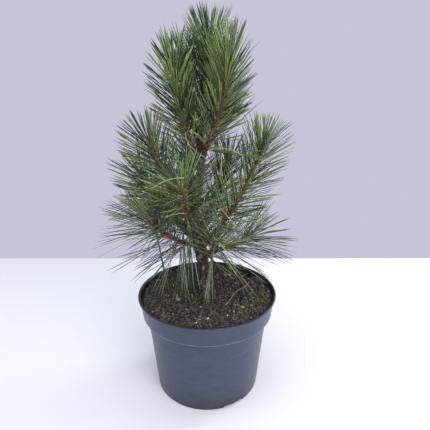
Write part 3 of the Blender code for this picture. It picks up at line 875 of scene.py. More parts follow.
def build_twig():
    """The long dry twig, with a kink, and two strands like it."""
    lines, widths = [], []
    shares = np.linspace(0, 1, TWIG_STATIONS)
    for start_x, start_y, end_x, end_y, bow, half in TWIGS:
        step = np.array([end_x - start_x, end_y - start_y])
        side = np.array([-step[1], step[0]]) / np.linalg.norm(step)
        bows = bow * (np.sin(math.pi * shares) - TWIG_KINK * np.sin(3 * math.pi * shares))
        flat = np.array([start_x, start_y]) + shares[:, None] * step + bows[:, None] * side
        height = peat_height(flat[:, 0], flat[:, 1]).max() + TWIG_LIFT + TWIG_RISE * shares
        lines.append(np.concatenate([flat, height[:, None]], -1))
        widths.append(half * (1 - 0.4 * shares + 0.2 * np.sin(25 * shares)))
    shape = tubes(np.array(lines), np.array(widths), round_section(8), UP)
    patches = Patches((0.360, 0.285, 0.220), (0.200, 0.145, 0.105), per_metre=120, softness=0.15)
    lay("dry_twig", shape, patches, Grain(per_metre=2500, depth=0.0002), roughness=(0.7, 0.85))


def build_shaving():
    """The curled wood shaving near the rim, flat and narrower towards its end."""
    turns = np.linspace(0, CURL_TURN, CURL_STATIONS)
    grow = CURL_RADIUS * (1 - 0.18 * turns / math.pi)
    x = CURL_PLACE[0] + 0.5 * grow * np.sin(turns) + 0.0004 * turns
    y = CURL_PLACE[1] + grow * np.cos(turns)
    floor = peat_height(x, y).max() + CURL_LIFT
    line = np.stack([x, y, floor + CURL_RISE * np.sin(turns / 2) ** 2], -1)[None]
    widths = np.linspace(*CURL_HALF_WIDTHS, CURL_STATIONS)
    patches = Patches((0.62, 0.46, 0.25), (0.38, 0.25, 0.12), per_metre=260, softness=0.15)
    shape = tubes(line, widths, CURL_SECTION, UP)
    lay("wood_shaving", shape, patches, Grain(per_metre=2500, depth=0.0002), roughness=(0.6, 0.8))


def build_fallen(draw):
    starts = np.stack(spots(draw, FALLEN_NEEDLES, LITTER_RADIUS - FALLEN_RIM_GAP), -1)
    headings = draw.uniform(0, 2 * math.pi, FALLEN_NEEDLES)
    lengths = draw.uniform(*FALLEN_LENGTH, FALLEN_NEEDLES)
    lines = lying_lines(draw, starts, headings, lengths, FALLEN_BOW, FALLEN_LIFT)
    taper = np.minimum(1, 5 * (1.001 - np.linspace(0, 1, LYING_STATIONS)))
    shape = tubes(lines, FALLEN_HALF_WIDTH * taper, round_section(4), UP)
    patches = Patches((0.240, 0.165, 0.085), (0.105, 0.066, 0.038), per_metre=70, softness=0.15)
    grain = Grain(per_metre=2500, depth=0.0001)
    lay("fallen_needles", shape, patches, grain, roughness=(0.55, 0.75))


litter_draw = np.random.default_rng(LITTER_SEED)
build_crumbs(litter_draw)
build_bits(litter_draw)
build_moss(litter_draw)
build_lumps(litter_draw)
build_perlite(litter_draw)
build_fibres(litter_draw)
build_twig()
build_shaving()
build_fallen(litter_draw)

# The trunk: a short stem that leans and bends to one side, flared at its foot and swollen where
# boughs leave it. Its bark has split into flaky upright plates, grey outside and red-brown in the
# cracks between them, near black deep in the cracks, partly as painted shade.
TRUNK_HEIGHT = 0.246
TRUNK_SUNK = 0.0025
TRUNK_RINGS = 330
TRUNK_SIDES = 84
TRUNK_FOOT_RADIUS = 0.0100
TRUNK_TOP_RADIUS = 0.0052
TRUNK_DOME = 0.005
FLARE = 0.0055
FLARE_HEIGHT = 0.018
FLARE_LOBES = 3
LOBE_DEPTH = 0.0012
WHORL_HEIGHTS = (0.076, 0.124, 0.238)
WHORL_SWELLING = 0.0018
WHORL_SPREAD = 0.010
TRUNK_LEAN = (-0.0075, 0.0040)
TRUNK_BEND = -0.0165
BEND_HEIGHT = 0.127
BEND_SPREAD = 0.060
# Without a seed the noise that bends the plates would differ from run to run
BARK_SEED = 1
PLATE_WIDTH = 0.0080
PLATE_HEIGHT = 0.0135
PLATE_CRACK = 0.26
PLATE_RELIEF = 0.0016
PLATE_LEVEL = 0.8
PLATE_LIFT = 0.0009
FLAKE_WIDTH = 0.0042
FLAKE_HEIGHT = 0.0058
FLAKE_CRACK = 0.20
FLAKE_LIFT = 0.0008
BARK_ROUGH = 0.0008
BARK_ROUGH_SIZE = 0.0035
BARK_GREY = (0.350, 0.322, 0.302)
BARK_BROWN = (0.066, 0.047, 0.038)
# Near black in the depths of the cracks, partly the bark's own colour and partly painted shade
BARK_CRACK_AND_SHADE = (0.018, 0.011, 0.009)


def trunk_axis(height):
    """The middle of the trunk at these heights above the soil, as rows of points."""
    height = np.asarray(height, float)
    share = height / TRUNK_HEIGHT
    bend = TRUNK_BEND * np.exp(-(((height - BEND_HEIGHT) / BEND_SPREAD) ** 2))
    x = TRUNK_LEAN[0] * share + bend
    return np.stack([x, TRUNK_LEAN[1] * share, PEAT_TOP + height], -1)


def trunk_radius(height):
    height = np.asarray(height, float)
    taper = TRUNK_FOOT_RADIUS + (TRUNK_TOP_RADIUS - TRUNK_FOOT_RADIUS) * height / TRUNK_HEIGHT
    flare = FLARE * np.exp(-height / FLARE_HEIGHT)
    swelling = sum(np.exp(-(((height - whorl) / WHORL_SPREAD) ** 2)) for whorl in WHORL_HEIGHTS)
    return taper + flare + WHORL_SWELLING * swelling


def plates(points, width, height, crack):
    """For each point, its way from a crack (0) to a plate's middle (1), and the plate's number."""
    scale = np.array([1 / width, 1 / width, 1 / height])
    share = np.empty(len(points))
    number = np.empty(len(points))
    for i, point in enumerate(points * scale):
        place = Vector(point)
        wide, fine = noise.noise_vector(place * 0.9), noise.noise_vector(place * 2.7)
        bent = place + 0.75 * wide + 0.25 * fine
        distances, places = noise.voronoi(bent)
        share[i] = min(1, (distances[1] - distances[0]) / crack)
        number[i] = noise.cell(places[0] * 7.3)
    return share * share * (3 - 2 * share), number


def build_trunk():
    noise.seed_set(BARK_SEED)
    heights = np.linspace(-TRUNK_SUNK, TRUNK_HEIGHT, TRUNK_RINGS)
    turns = 2 * math.pi * np.arange(TRUNK_SIDES) / TRUNK_SIDES
    lobes = LOBE_DEPTH * np.exp(-heights / FLARE_HEIGHT)[:, None] * np.cos(FLARE_LOBES * turns)
    radii = trunk_radius(heights)[:, None] + lobes
    over = np.clip((heights - TRUNK_HEIGHT + TRUNK_DOME) / TRUNK_DOME, 0, 0.98)
    radii = radii * np.sqrt(1 - over**2)[:, None]
    out = np.stack([np.cos(turns), np.sin(turns), 0 * turns], -1)
    axis = trunk_axis(heights)
    rings = axis[:, None, :] + radii[..., None] * out
    flat = rings.reshape(-1, 3)
    share, number = plates(flat, PLATE_WIDTH, PLATE_HEIGHT, PLATE_CRACK)
    flake, layer = plates(flat, FLAKE_WIDTH, FLAKE_HEIGHT, FLAKE_CRACK)
    rough = BARK_ROUGH * cloudy(flat, BARK_ROUGH_SIZE, 2)
    raised = PLATE_RELIEF * (share - PLATE_LEVEL) + PLATE_LIFT * number * share + rough
    raised += FLAKE_LIFT * layer * flake * share
    # Each plate and flake has a shade of its own
    share = share * (0.15 + 0.85 * np.clip(0.5 + 0.6 * number + 0.4 * layer, 0, 1))
    rings = rings + raised.reshape(len(rings), TRUNK_SIDES, 1) * out
    points = np.vstack([rings.reshape(-1, 3), axis[0], axis[-1]])
    patches = Patches(BARK_GREY, BARK_BROWN, per_metre=85, softness=0.13, stretch=(1, 1, 0.6))
    grain = Grain(per_metre=900, depth=0.0011, stretch=(1, 1, 0.4))
    # Where the relief is low, down in the cracks, the bark turns to the crack colour, partly painted
    # shade
    finish = two_part_finish("old bark", patches, BARK_CRACK_AND_SHADE, "relief", grain, roughness=(0.85, 0.95))
    trunk = new_piece("trunk_bark", points, *skin_faces(len(rings), TRUNK_SIDES), finish)
    set_field(trunk, "relief", np.concatenate([share, [1, 1]]))
    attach(trunk, "root")
    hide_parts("trunk")


build_trunk()

# The limbs: each leaves the trunk as a bare bough with scaly grey-brown bark, and carries on as a
# shoot of orange-brown bark, ridged by the feet of its needles, up to its bud. They stand in three
# loose whorls, the lowest nearly level and the top ones upright round the leader.
GOLDEN_ANGLE = math.radians(137.508)
RISE_POWER = 1.15
SWAY = 0.0025
PATH_STEPS = 90
SAMPLE_STEP = 0.002
ROOT_GAP = 0.0005
TIP_SHARE = 0.62
BUD_LENGTH = 0.0115
ROOT_SINK = 0.004
ROOT_FLARE = 0.55
ROOT_FLARE_LENGTH = 0.005
RING_STEP = 0.0007
BOUGH_SIDES = 20
FOOT_LENGTH = 0.0042
FOOT_HALF_TURN = 0.42
FOOT_RELIEF = 0.00075
FOOT_MIDDLE = 0.55
BARK_OVERLAP = 0.0004
SCALY = 0.0009
SCALE_SIZE = 0.0040
CROWDING = 0.80
# How far below the shoot's end its needles and its bark stop, as shares of the bud's length
NEEDLES_STOP = 0.4
BARK_STOPS = 0.8
SHOOT_ORANGE = (0.560, 0.260, 0.085)
SHOOT_BROWN = (0.200, 0.092, 0.042)
# Near black in the grooves between the ridges of the needle feet, on shoots and boughs: painted shade
SHOOT_GROOVE_SHADE = (0.040, 0.019, 0.012)
BOUGH_GREY = (0.150, 0.130, 0.112)
BOUGH_BROWN = (0.060, 0.042, 0.033)

# How needles stand on a shoot: their length, how far past the bud they reach, the shoot's length
# for each pair, the angle to the shoot in degrees at its foot and at its tip, the curl towards the
# bud, and the droop
Habit = namedtuple("Habit", "length past spacing foot_angle tip_angle curl droop")
LEADER = Habit(0.062, 0.036, 0.00095, 46, 29, 0.06, 0.00)
TOP = Habit(0.051, 0.041, 0.00100, 54, 33, 0.08, 0.00)
# A copy of TOP for the front top shoot, dealt lighter tones in the table of looks as painted light
UPPER_LIT = TOP._replace(spacing=0.00098)
MIDDLE = Habit(0.058, 0.037, 0.00105, 61, 35, 0.08, 0.03)
# A copy of MIDDLE for the right-hand bough, dealt lighter tones in the table of looks as painted light
# from the right
RIGHT_LIT = MIDDLE._replace(length=0.0585)
LOW = Habit(0.090, 0.058, 0.00060, 62, 32, 0.06, 0.17)
FRONT = Habit(0.060, 0.040, 0.00100, 66, 36, 0.10, 0.02)
WIDE = LOW._replace(spacing=0.00100)
OLD = Habit(0.090, 0.200, 0.00130, 74, 60, 0.06, 0.28)
LOOSE = Habit(0.108, 0.200, 0.00150, 60, 60, 0.00, 0.00)
HABITS = (LEADER, TOP, UPPER_LIT, MIDDLE, RIGHT_LIT, LOW, WIDE, FRONT, OLD, LOOSE)

# A limb: height on the trunk, angle round it, reach out and rise to its tip, how soon it turns
# up, where its old needles and then its young ones begin, radius at the trunk, habit
Limb = namedtuple("Limb", "name height angle reach rise bow bare young radius habit")
LIMBS = (
    Limb("leader", TRUNK_HEIGHT, 48, 0.019, 0.160, 1.2, 0.012, 0.012, 0.0042, LEADER),
    Limb("top_front", 0.230, -50, 0.056, 0.143, 1.8, 0.012, 0.012, 0.0036, UPPER_LIT),
    Limb("top_left", 0.226, 204, 0.040, 0.142, 1.9, 0.012, 0.012, 0.0036, TOP),
    Limb("top_back_left", 0.228, 118, 0.050, 0.150, 1.6, 0.012, 0.012, 0.0034, TOP),
    Limb("top_back_right", 0.231, 48, 0.050, 0.128, 1.7, 0.012, 0.012, 0.0032, TOP),
    Limb("middle_left_front", 0.134, 205, 0.069, 0.133, 1.3, 0.014, 0.034, 0.0040, MIDDLE),
    Limb("middle_left", 0.113, 168, 0.088, 0.096, 1.4, 0.014, 0.030, 0.0036, MIDDLE),
    Limb("middle_right", 0.084, -3, 0.100, 0.177, 1.35, 0.014, 0.036, 0.0044, RIGHT_LIT),
    Limb("middle_back_right", 0.108, 46, 0.080, 0.118, 1.4, 0.014, 0.026, 0.0036, MIDDLE),
    Limb("middle_front", 0.121, -101, 0.086, 0.091, 1.3, 0.014, 0.034, 0.0036, FRONT),
    Limb("middle_back", 0.127, 98, 0.080, 0.112, 1.4, 0.014, 0.026, 0.0036, MIDDLE),
    Limb("low_left", 0.088, 206, 0.078, 0.060, 1.8, 0.014, 0.028, 0.0036, LOW),
    Limb("low_back_left", 0.096, 134, 0.084, 0.050, 1.5, 0.014, 0.032, 0.0034, LOW),
    Limb("low_front", 0.060, -64, 0.040, 0.056, 1.4, 0.014, 0.014, 0.0030, FRONT),
    Limb("low_right", 0.068, 14, 0.090, 0.032, 1.3, 0.012, 0.014, 0.0032, WIDE),
    Limb("low_back", 0.074, 84, 0.080, 0.044, 1.4, 0.014, 0.030, 0.0034, LOW),
)


def unit(vectors):
    return vectors / np.linalg.norm(vectors, axis=-1)[..., None]


def clear_of_trunk(points):
    """How far the points are outside the trunk; those over its top count from its end."""
    height = points[:, 2] - PEAT_TOP
    level = np.minimum(height, TRUNK_HEIGHT)
    aside = np.linalg.norm(points[:, :2] - trunk_axis(level)[:, :2], axis=1) - trunk_radius(level)
    return np.where(height > TRUNK_HEIGHT, height - TRUNK_HEIGHT, aside)


class Path:
    """A limb's middle line from the trunk's surface to its tip, walked by distance."""

    def __init__(self, limb, hand):
        turn = math.radians(limb.angle)
        out = np.array([math.cos(turn), math.sin(turn), 0])
        self.side = np.array([-math.sin(turn), math.cos(turn), 0])
        shares = np.linspace(0, 1, PATH_STEPS + 1)[:, None]
        reach = limb.reach * (1 - (1 - shares) ** limb.bow)
        sway = hand * SWAY * np.sin(2 * math.pi * shares)
        points = trunk_axis(limb.height) + reach * out + sway * self.side
        points = points + limb.rise * shares**RISE_POWER * UP
        first = int(np.argmax(clear_of_trunk(points) > ROOT_GAP))
        self.points = points[first:]
        steps = np.linalg.norm(np.diff(self.points, axis=0), axis=1)
        self.walked = np.concatenate([[0], np.cumsum(steps)])
        self.length = self.walked[-1]

    def at(self, distance):
        """Points at these distances; before the start the line runs straight back."""
        columns = [np.interp(distance, self.walked, column) for column in self.points.T]
        found = np.stack(columns, -1)
        before = np.minimum(distance, 0)[..., None]
        return found + before * unit(self.points[1] - self.points[0])

    def frame(self, distance):
        """Unit directions along the limb and two across it, at these distances."""
        low = np.maximum(distance - SAMPLE_STEP, 0)
        high = np.minimum(np.maximum(distance, 0) + SAMPLE_STEP, self.length)
        along = unit(self.at(high) - self.at(low))
        across = unit(np.cross(self.side, along))
        return along, across, np.cross(along, across)


def limb_radius(limb, path, distance):
    root = ROOT_FLARE * np.exp(-np.maximum(distance, 0) / ROOT_FLARE_LENGTH)
    return limb.radius * (1 - (1 - TIP_SHARE) * distance / path.length + root)


def needle_feet(limb, path):
    """Distance and turn of each pair of needles along a shoot, spiralling up it."""
    start = limb.young
    end = path.length - NEEDLES_STOP * BUD_LENGTH
    count = int((end - start) / limb.habit.spacing)
    index = np.arange(count)
    return start + (end - start) * ((index + 0.5) / count) ** CROWDING, index * GOLDEN_ANGLE


def foot_relief(distance, turn, feet_at, feet_turn):
    """Height of the ridge that runs down from each needle foot, from 0 to 1, over the bark."""
    back = feet_at[None, None, :] - distance[:, None, None]
    round_it = turn[None, :, None] - feet_turn[None, None, :]
    round_it = np.abs((round_it + math.pi) % (2 * math.pi) - math.pi)
    rise = np.where(back >= 0, 1 - back / FOOT_LENGTH, 1 + back / (0.2 * FOOT_LENGTH))
    ridge = np.clip(rise, 0, 1) * np.exp(-((round_it / FOOT_HALF_TURN) ** 2))
    return ridge.max(2)


def limb_skin(limb, path, start, end, feet):
    """Rings of a limb's bark between two distances, and its relief."""
    count = max(3, round((end - start) / RING_STEP))
    distance = np.linspace(start, end, count)
    turns = 2 * math.pi * np.arange(BOUGH_SIDES) / BOUGH_SIDES
    across, other = (axis[:, None] for axis in path.frame(distance)[1:])
    out = np.cos(turns)[None, :, None] * across + np.sin(turns)[None, :, None] * other
    relief = foot_relief(distance, turns, *feet)
    radii = limb_radius(limb, path, distance)[:, None] + FOOT_RELIEF * (relief - FOOT_MIDDLE)
    return path.at(distance)[:, None, :] + radii[..., None] * out, relief


def gathered(parts):
    """Points and faces of closed skins of different lengths as one mesh."""
    points, quads, triangles = [], [], []
    used = 0
    for rings in parts:
        middle = rings.mean(1)
        points.append(np.vstack([rings.reshape(-1, 3), middle[0], middle[-1]]))
        four, three = skin_faces(len(rings), rings.shape[1])
        quads.append(four + used)
        triangles.append(three + used)
        used += len(points[-1])
    return np.vstack(points), np.vstack(quads), np.vstack(triangles)


def build_limbs():
    boughs, shoots, bough_relief, shoot_relief = [], [], [], []
    for limb, path in zip(LIMBS, PATHS):
        old_at = np.arange(-ROOT_SINK, limb.young, OLD.spacing)
        old_feet = (old_at, np.arange(len(old_at)) * GOLDEN_ANGLE)
        rings, relief = limb_skin(limb, path, -ROOT_SINK, limb.young + BARK_OVERLAP, old_feet)
        rough = SCALY * cloudy(rings.reshape(-1, 3), SCALE_SIZE, 2).reshape(relief.shape)
        rings = rings + rough[..., None] * unit(rings - rings.mean(1)[:, None])
        boughs.append(rings)
        bough_relief += [relief.ravel(), [1, 1]]
        start, end = limb.young - BARK_OVERLAP, path.length - BARK_STOPS * BUD_LENGTH
        rings, relief = limb_skin(limb, path, start, end, needle_feet(limb, path))
        shoots.append(rings)
        shoot_relief += [relief.ravel(), [1, 1]]
    # Both barks turn to the groove colour where the ridges' relief is low, as painted shade
    patches = Patches(BOUGH_GREY, BOUGH_BROWN, per_metre=120, softness=0.13)
    grain = Grain(per_metre=1100, depth=0.0007)
    finish = two_part_finish("bough bark", patches, SHOOT_GROOVE_SHADE, "relief", grain, roughness=(0.8, 0.92))
    bough = new_piece("bough_bark", *gathered(boughs), finish)
    set_field(bough, "relief", np.concatenate(bough_relief))
    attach(bough, "root")
    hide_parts(*("bough_" + limb.name for limb in LIMBS))
    patches = Patches(SHOOT_ORANGE, SHOOT_BROWN, per_metre=150, softness=0.14)
    grain = Grain(per_metre=1600, depth=0.0004)
    finish = two_part_finish("shoot bark", patches, SHOOT_GROOVE_SHADE, "relief", grain, roughness=(0.6, 0.8))
    shoot = new_piece("shoot_bark", *gathered(shoots), finish)
    set_field(shoot, "relief", np.concatenate(shoot_relief))
    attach(shoot, "root")
    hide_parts(*("needles_" + limb.name for limb in LIMBS))


PATHS = [Path(limb, (-1) ** i) for i, limb in enumerate(LIMBS)]
build_limbs()

# The buds: a stout pointed bud ends each shoot, with smaller ones round its foot. Each is a cone
# of pinkish-tan scales laid over one another in a spiral, stuck down with resin.
BUD_RADIUS = 0.0027
SIDE_BUDS = 3
SIDE_BUD_LENGTH = 0.0075
SIDE_BUD_RADIUS = 0.0017
SIDE_BUD_LEAN = 0.50
SIDE_BUD_DROP = 0.0015
SIDE_BUD_OUT = 0.0012
BUD_RINGS = 14
BUD_SIDES = 14
BUD_SCALES = 34
CORE_SHARE = 0.94
SCALE_HALF_WIDTH = 0.0010
SCALE_LENGTH = 0.34
SCALES_FROM_TO = (-0.06, 0.74)
SCALE_LIFT = 0.03
SCALE_FLARE = 0.10
SCALE_SHAPE = np.array([0.75, 1.0, 0.9, 0.6, 0.08])
FLAT_SECTION = np.array([(1.0, 0.0), (0.45, 0.22), (-0.45, 0.22), (-1.0, 0.0), (0.0, -0.10)])
Bud = namedtuple("Bud", "base along across other length radius")


def bud_width(share):
    """Width of a bud from its foot to its point, as a share of its radius."""
    return np.maximum(np.sin(math.pi * (0.33 + 0.67 * np.clip(share, 0, 1))), 0.02) ** 0.8


def all_buds():
    buds = []
    for limb, path in zip(LIMBS, PATHS):
        foot = np.array([path.length - BUD_LENGTH])
        along, across, other = (axis[0] for axis in path.frame(foot + 0.004))
        base = path.at(foot)[0]
        buds.append(Bud(base, along, across, other, BUD_LENGTH, BUD_RADIUS))
        for i in range(SIDE_BUDS):
            turn = 2 * math.pi * i / SIDE_BUDS + 1.1 * limb.height / 0.05
            out = math.cos(turn) * across + math.sin(turn) * other
            lean = unit(math.cos(SIDE_BUD_LEAN) * along + math.sin(SIDE_BUD_LEAN) * out)
            side = unit(np.cross(lean, along))
            start = base - SIDE_BUD_DROP * along + SIDE_BUD_OUT * out
            other_side = np.cross(lean, side)
            buds.append(Bud(start, lean, side, other_side, SIDE_BUD_LENGTH, SIDE_BUD_RADIUS))
    return buds


def build_buds():
    cores, lines, widths, aside = [], [], [], []
    turns = 2 * math.pi * np.arange(BUD_SIDES) / BUD_SIDES
    for bud in all_buds():
        axes = np.stack([bud.along, bud.across, bud.other])
        shares = np.linspace(0, 1, BUD_RINGS)[:, None]
        wide = bud.radius * bud_width(shares) * CORE_SHARE
        up = bud.length * shares + 0 * turns
        shape = np.stack([up, wide * np.cos(turns), wide * np.sin(turns)], -1)
        cores.append(bud.base + shape @ axes)
        count = BUD_SCALES if bud.radius == BUD_RADIUS else BUD_SCALES // 2
        start = np.linspace(*SCALES_FROM_TO, count)[:, None]
        turn = (np.arange(count) * GOLDEN_ANGLE)[:, None]
        along = np.linspace(0, 1, len(SCALE_SHAPE))[None]
        at = start + SCALE_LENGTH * along * (1 - 0.3 * start)
        wide = bud.radius * (bud_width(at) + SCALE_LIFT + SCALE_FLARE * along**2)
        shape = np.stack([bud.length * at, wide * np.cos(turn), wide * np.sin(turn)], -1)
        lines.append(bud.base + shape @ axes)
        size = SCALE_HALF_WIDTH * bud.radius / BUD_RADIUS
        widths.append(size * SCALE_SHAPE[None] * (1 - 0.35 * start))
        side = np.stack([0 * turn, -np.sin(turn), np.cos(turn)], -1)[:, 0]
        aside.append(side @ axes)
    scales = tubes(np.vstack(lines), np.vstack(widths), FLAT_SECTION, np.vstack(aside))
    patches = Patches((0.200, 0.090, 0.052), (0.110, 0.048, 0.030), per_metre=260, softness=0.14)
    grain = Grain(per_metre=2500, depth=0.0002)
    finish = patchy_finish("bud core", patches, grain, roughness=(0.5, 0.7))
    core = new_piece("bud_cores", *gathered(cores), finish)
    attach(core, "root")
    patches = Patches((0.380, 0.215, 0.140), (0.190, 0.095, 0.058), per_metre=330, softness=0.13)
    grain = Grain(per_metre=2500, depth=0.0002)
    finish = patchy_finish("bud scales", patches, grain, roughness=(0.42, 0.62))
    scale = new_piece("bud_scales", *scales, finish)
    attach(scale, "root")


build_buds()

# The feet of the needles: they grow in pairs, each pair out of a short papery sheath over a small
# curled bract, in one tight spiral up the shoot. Where each pair stands, and how it leans, curls
# and droops, is worked out here for the sheaths and for the needles.
NEEDLE_SEED = 400
ANGLE_JITTER = math.radians(4)
TURN_JITTER = 0.16
LENGTH_JITTER = 0.040
CLOSING_FROM = 0.80
CLOSING_ANGLE = 5.0
BEND_POWER = 1.7
DROOP_RANGE = (0.5, 1.5)
ROOTED_SHARE = 0.6
PAIR_SPREAD = (0.02, 0.09)
SPREAD_POWER = 1.35
PAIR_GAP = 0.0006
GAP_SHARE = 0.06
OLD_SEED = 500
OLD_LOWEST = -0.5
LOOSE_SEED = 600
LOOSE_SWING = 0.06
OLD_SWING = 0.14
BEND_JITTER = 0.035
# Loose pairs: their limb and kind, how many, from and to which distance along it, and which way
# they point
LOOSE_ON = (
    ("low_left", LOOSE, 4, 0.012, 0.022, (0.0, -0.20, -1.0)),
    ("low_left", LOOSE, 2, 0.003, 0.010, (0.20, -0.30, -1.0)),
    ("low_left", LOOSE, 1, 0.072, 0.078, (0.04, -0.06, -1.0)),
    ("low_left", OLD, 6, 0.008, 0.050, (-0.90, -0.12, -0.32)),
    ("low_left", OLD, 5, 0.008, 0.040, (-0.72, -0.10, -0.66)),
    ("middle_left", OLD, 8, 0.030, 0.090, (-0.96, -0.15, -0.20)),
    ("middle_front", LOOSE, 4, 0.010, 0.034, (0.05, -0.06, -1.0)),
    ("middle_front", FRONT, 2, 0.080, 0.100, (-0.92, -0.15, -0.36)),
    ("middle_front", FRONT, 2, 0.010, 0.026, (-0.96, -0.10, -0.10)),
    ("low_front", LOOSE, 2, 0.034, 0.053, (-0.06, -0.24, -1.0)),
    ("low_front", LOOSE, 1, 0.040, 0.053, (-0.30, -0.18, -1.0)),
    ("low_front", OLD, 4, 0.036, 0.053, (0.90, 0.0, -0.10)),
    ("low_front", LOOSE, 1, 0.046, 0.053, (0.55, -0.20, -0.62)),
    ("low_front", FRONT, 2, 0.044, 0.053, (0.48, -0.15, -0.72)),
    ("middle_right", FRONT, 3, 0.040, 0.058, (0.55, -0.30, -0.60)),
    ("low_right", OLD, 5, 0.020, 0.070, (0.80, -0.10, -0.36)),
    ("middle_left_front", LOOSE, 1, 0.010, 0.030, (0.0, 0.0, -1.0)),
    ("top_left", LOOSE, 2, 0.004, 0.016, (-0.85, -0.45, -0.22)),
    ("top_front", OLD, 2, 0.004, 0.016, (0.80, -0.38, -0.05)),
    ("middle_right", WIDE, 2, 0.060, 0.090, (0.40, -0.76, 0.10)),
    ("top_front", OLD, 7, 0.008, 0.034, (0.60, 0.10, 0.72)),
    ("middle_back", LOOSE, 2, 0.010, 0.026, (0.55, 0.80, -0.25)),
    ("low_left", LOOSE, 3, 0.003, 0.012, (-0.10, -0.24, -1.00)),
    ("low_left", OLD, 4, 0.003, 0.028, (-0.42, -0.45, -0.80)),
    ("middle_left", LOOSE, 2, 0.006, 0.018, (-0.10, -0.45, -1.00)),
)
SHEATH_LENGTH = 0.0062
SHEATH_RADIUS = 0.00092
SHEATH_START = 0.2
SHEATH_TAPER = np.array([1.0, 0.95, 0.72])
BRACT_LENGTH = 0.0040
BRACT_HALF_WIDTH = 0.0008
BRACT_OUT = 0.0012
BRACT_DROP = 0.0022
BRACT_TAPER = np.array([0.8, 1.0, 0.65, 0.08])
WOOD_STEP = 0.003
TESTED_SHARES = np.linspace(0.3, 1, 13)
SHORTEST_SHARE = 0.5
LOW_LOWEST = -0.40
LOW_CLEAR_SHARE = 0.70
NEEDLE_CLEARANCE = 0.0010
FREE_OF_PEAT = 0.0025
FREE_OF_RIM = 0.003
RIM_ZONE = 0.008
BOX_MARGIN = 0.0028


class Pairs:
    """Where the pairs of needles stand, one row for each pair."""

    def __init__(self, **rows):
        self.rows = rows

    def __getattr__(self, name):
        return self.rows[name]

    def line(self, shares, hand):
        """Points of one needle of each pair: hand is -1 or 1, and 0 is the line between them."""
        share = shares[..., None]
        straight = share * self.straight[:, None] + share**BEND_POWER * self.bend[:, None]
        length = self.length[:, None, None]
        opened = length * (self.spread[:, None, None] * share**SPREAD_POWER)
        apart = PAIR_GAP * np.minimum(1, share / GAP_SHARE) + opened
        return self.root[:, None] + length * straight + hand * apart * self.apart[:, None]

    def kept(self, chosen):
        return Pairs(**{key: value[chosen] for key, value in self.rows.items()})


def joined_pairs(parts):
    keys = parts[0].rows
    return Pairs(**{key: np.concatenate([part.rows[key] for part in parts]) for key in keys})


def standing_pairs(draw, number, at, turn, habit, closing):
    """Pairs at these distances and turns on one limb, standing as its habit says."""
    limb, path = LIMBS[number], PATHS[number]
    count = len(at)
    share = np.clip((at - limb.young) / (path.length - limb.young), 0, 1)
    along, across, other = path.frame(at)
    turn = turn + draw.normal(0, TURN_JITTER, count)
    out = np.cos(turn)[:, None] * across + np.sin(turn)[:, None] * other
    angle = habit.foot_angle + (habit.tip_angle - habit.foot_angle) * share
    closed = closing * np.clip((share - CLOSING_FROM) / (1 - CLOSING_FROM), 0, 1)
    closed = closed * draw.uniform(0, 1, count)
    angle = angle + (CLOSING_ANGLE - angle) * closed
    angle = np.radians(angle) + draw.normal(0, ANGLE_JITTER, count)
    straight = np.cos(angle)[:, None] * along + np.sin(angle)[:, None] * out
    lean = draw.uniform(0, 2 * math.pi, count)[:, None]
    one = unit(np.cross(straight, along + 0.3 * out))
    apart = np.cos(lean) * one + np.sin(lean) * np.cross(straight, one)
    root = path.at(at) + ROOTED_SHARE * limb_radius(limb, path, at)[:, None] * out
    flat_top = (path.length - at + habit.past) / (np.cos(angle) + habit.curl)
    length = np.minimum(habit.length, flat_top) * (1 + draw.normal(0, LENGTH_JITTER, count))
    bend = habit.curl * along - habit.droop * draw.uniform(*DROOP_RANGE, count)[:, None] * UP
    return Pairs(
        root=root,
        straight=straight,
        bend=bend + draw.normal(0, BEND_JITTER, (count, 3)),
        apart=apart,
        out=out,
        along=along,
        length=length,
        spread=draw.uniform(*PAIR_SPREAD, count),
        habit=np.full(count, HABITS.index(habit)),
    )


def old_pairs():
    """Long, loose, drooping pairs left on the bare boughs by the years before."""
    made = []
    for number, (limb, path) in enumerate(zip(LIMBS, PATHS)):
        draw = np.random.default_rng(OLD_SEED + number)
        at = np.arange(limb.bare, limb.young, OLD.spacing)
        if len(at) == 0:
            continue
        turn = np.arange(len(at)) * GOLDEN_ANGLE
        pairs = standing_pairs(draw, number, at, turn, OLD, False)
        made.append(pairs.kept(pairs.out[:, 2] > OLD_LOWEST))
    return made


def loose_pairs():
    """Long pairs that cross the crown or hang down in front of the trunk, almost to the peat."""
    made = []
    for row, (name, habit, count, low, high, way) in enumerate(LOOSE_ON):
        number = [limb.name for limb in LIMBS].index(name)
        draw = np.random.default_rng(LOOSE_SEED + row)
        pairs = standing_pairs(draw, number, draw.uniform(low, high, count), 0, habit, False)
        swing = LOOSE_SWING if habit is LOOSE else OLD_SWING
        pairs.rows["straight"] = unit(way + draw.normal(0, swing, (count, 3)))
        pairs.rows["bend"] = draw.normal(0, 2 * BEND_JITTER, (count, 3))
        pairs.rows["out"] = pairs.straight
        made.append(pairs)
    return made


def wood_points():
    """Points along the trunk and every limb, with the wood's radius there."""
    heights = np.arange(0, TRUNK_HEIGHT, WOOD_STEP)
    rows = [np.column_stack([trunk_axis(heights), trunk_radius(heights)])]
    for limb, path in zip(LIMBS, PATHS):
        distance = np.arange(0, path.length, WOOD_STEP)
        rows.append(np.column_stack([path.at(distance), limb_radius(limb, path, distance)]))
    return np.vstack(rows)


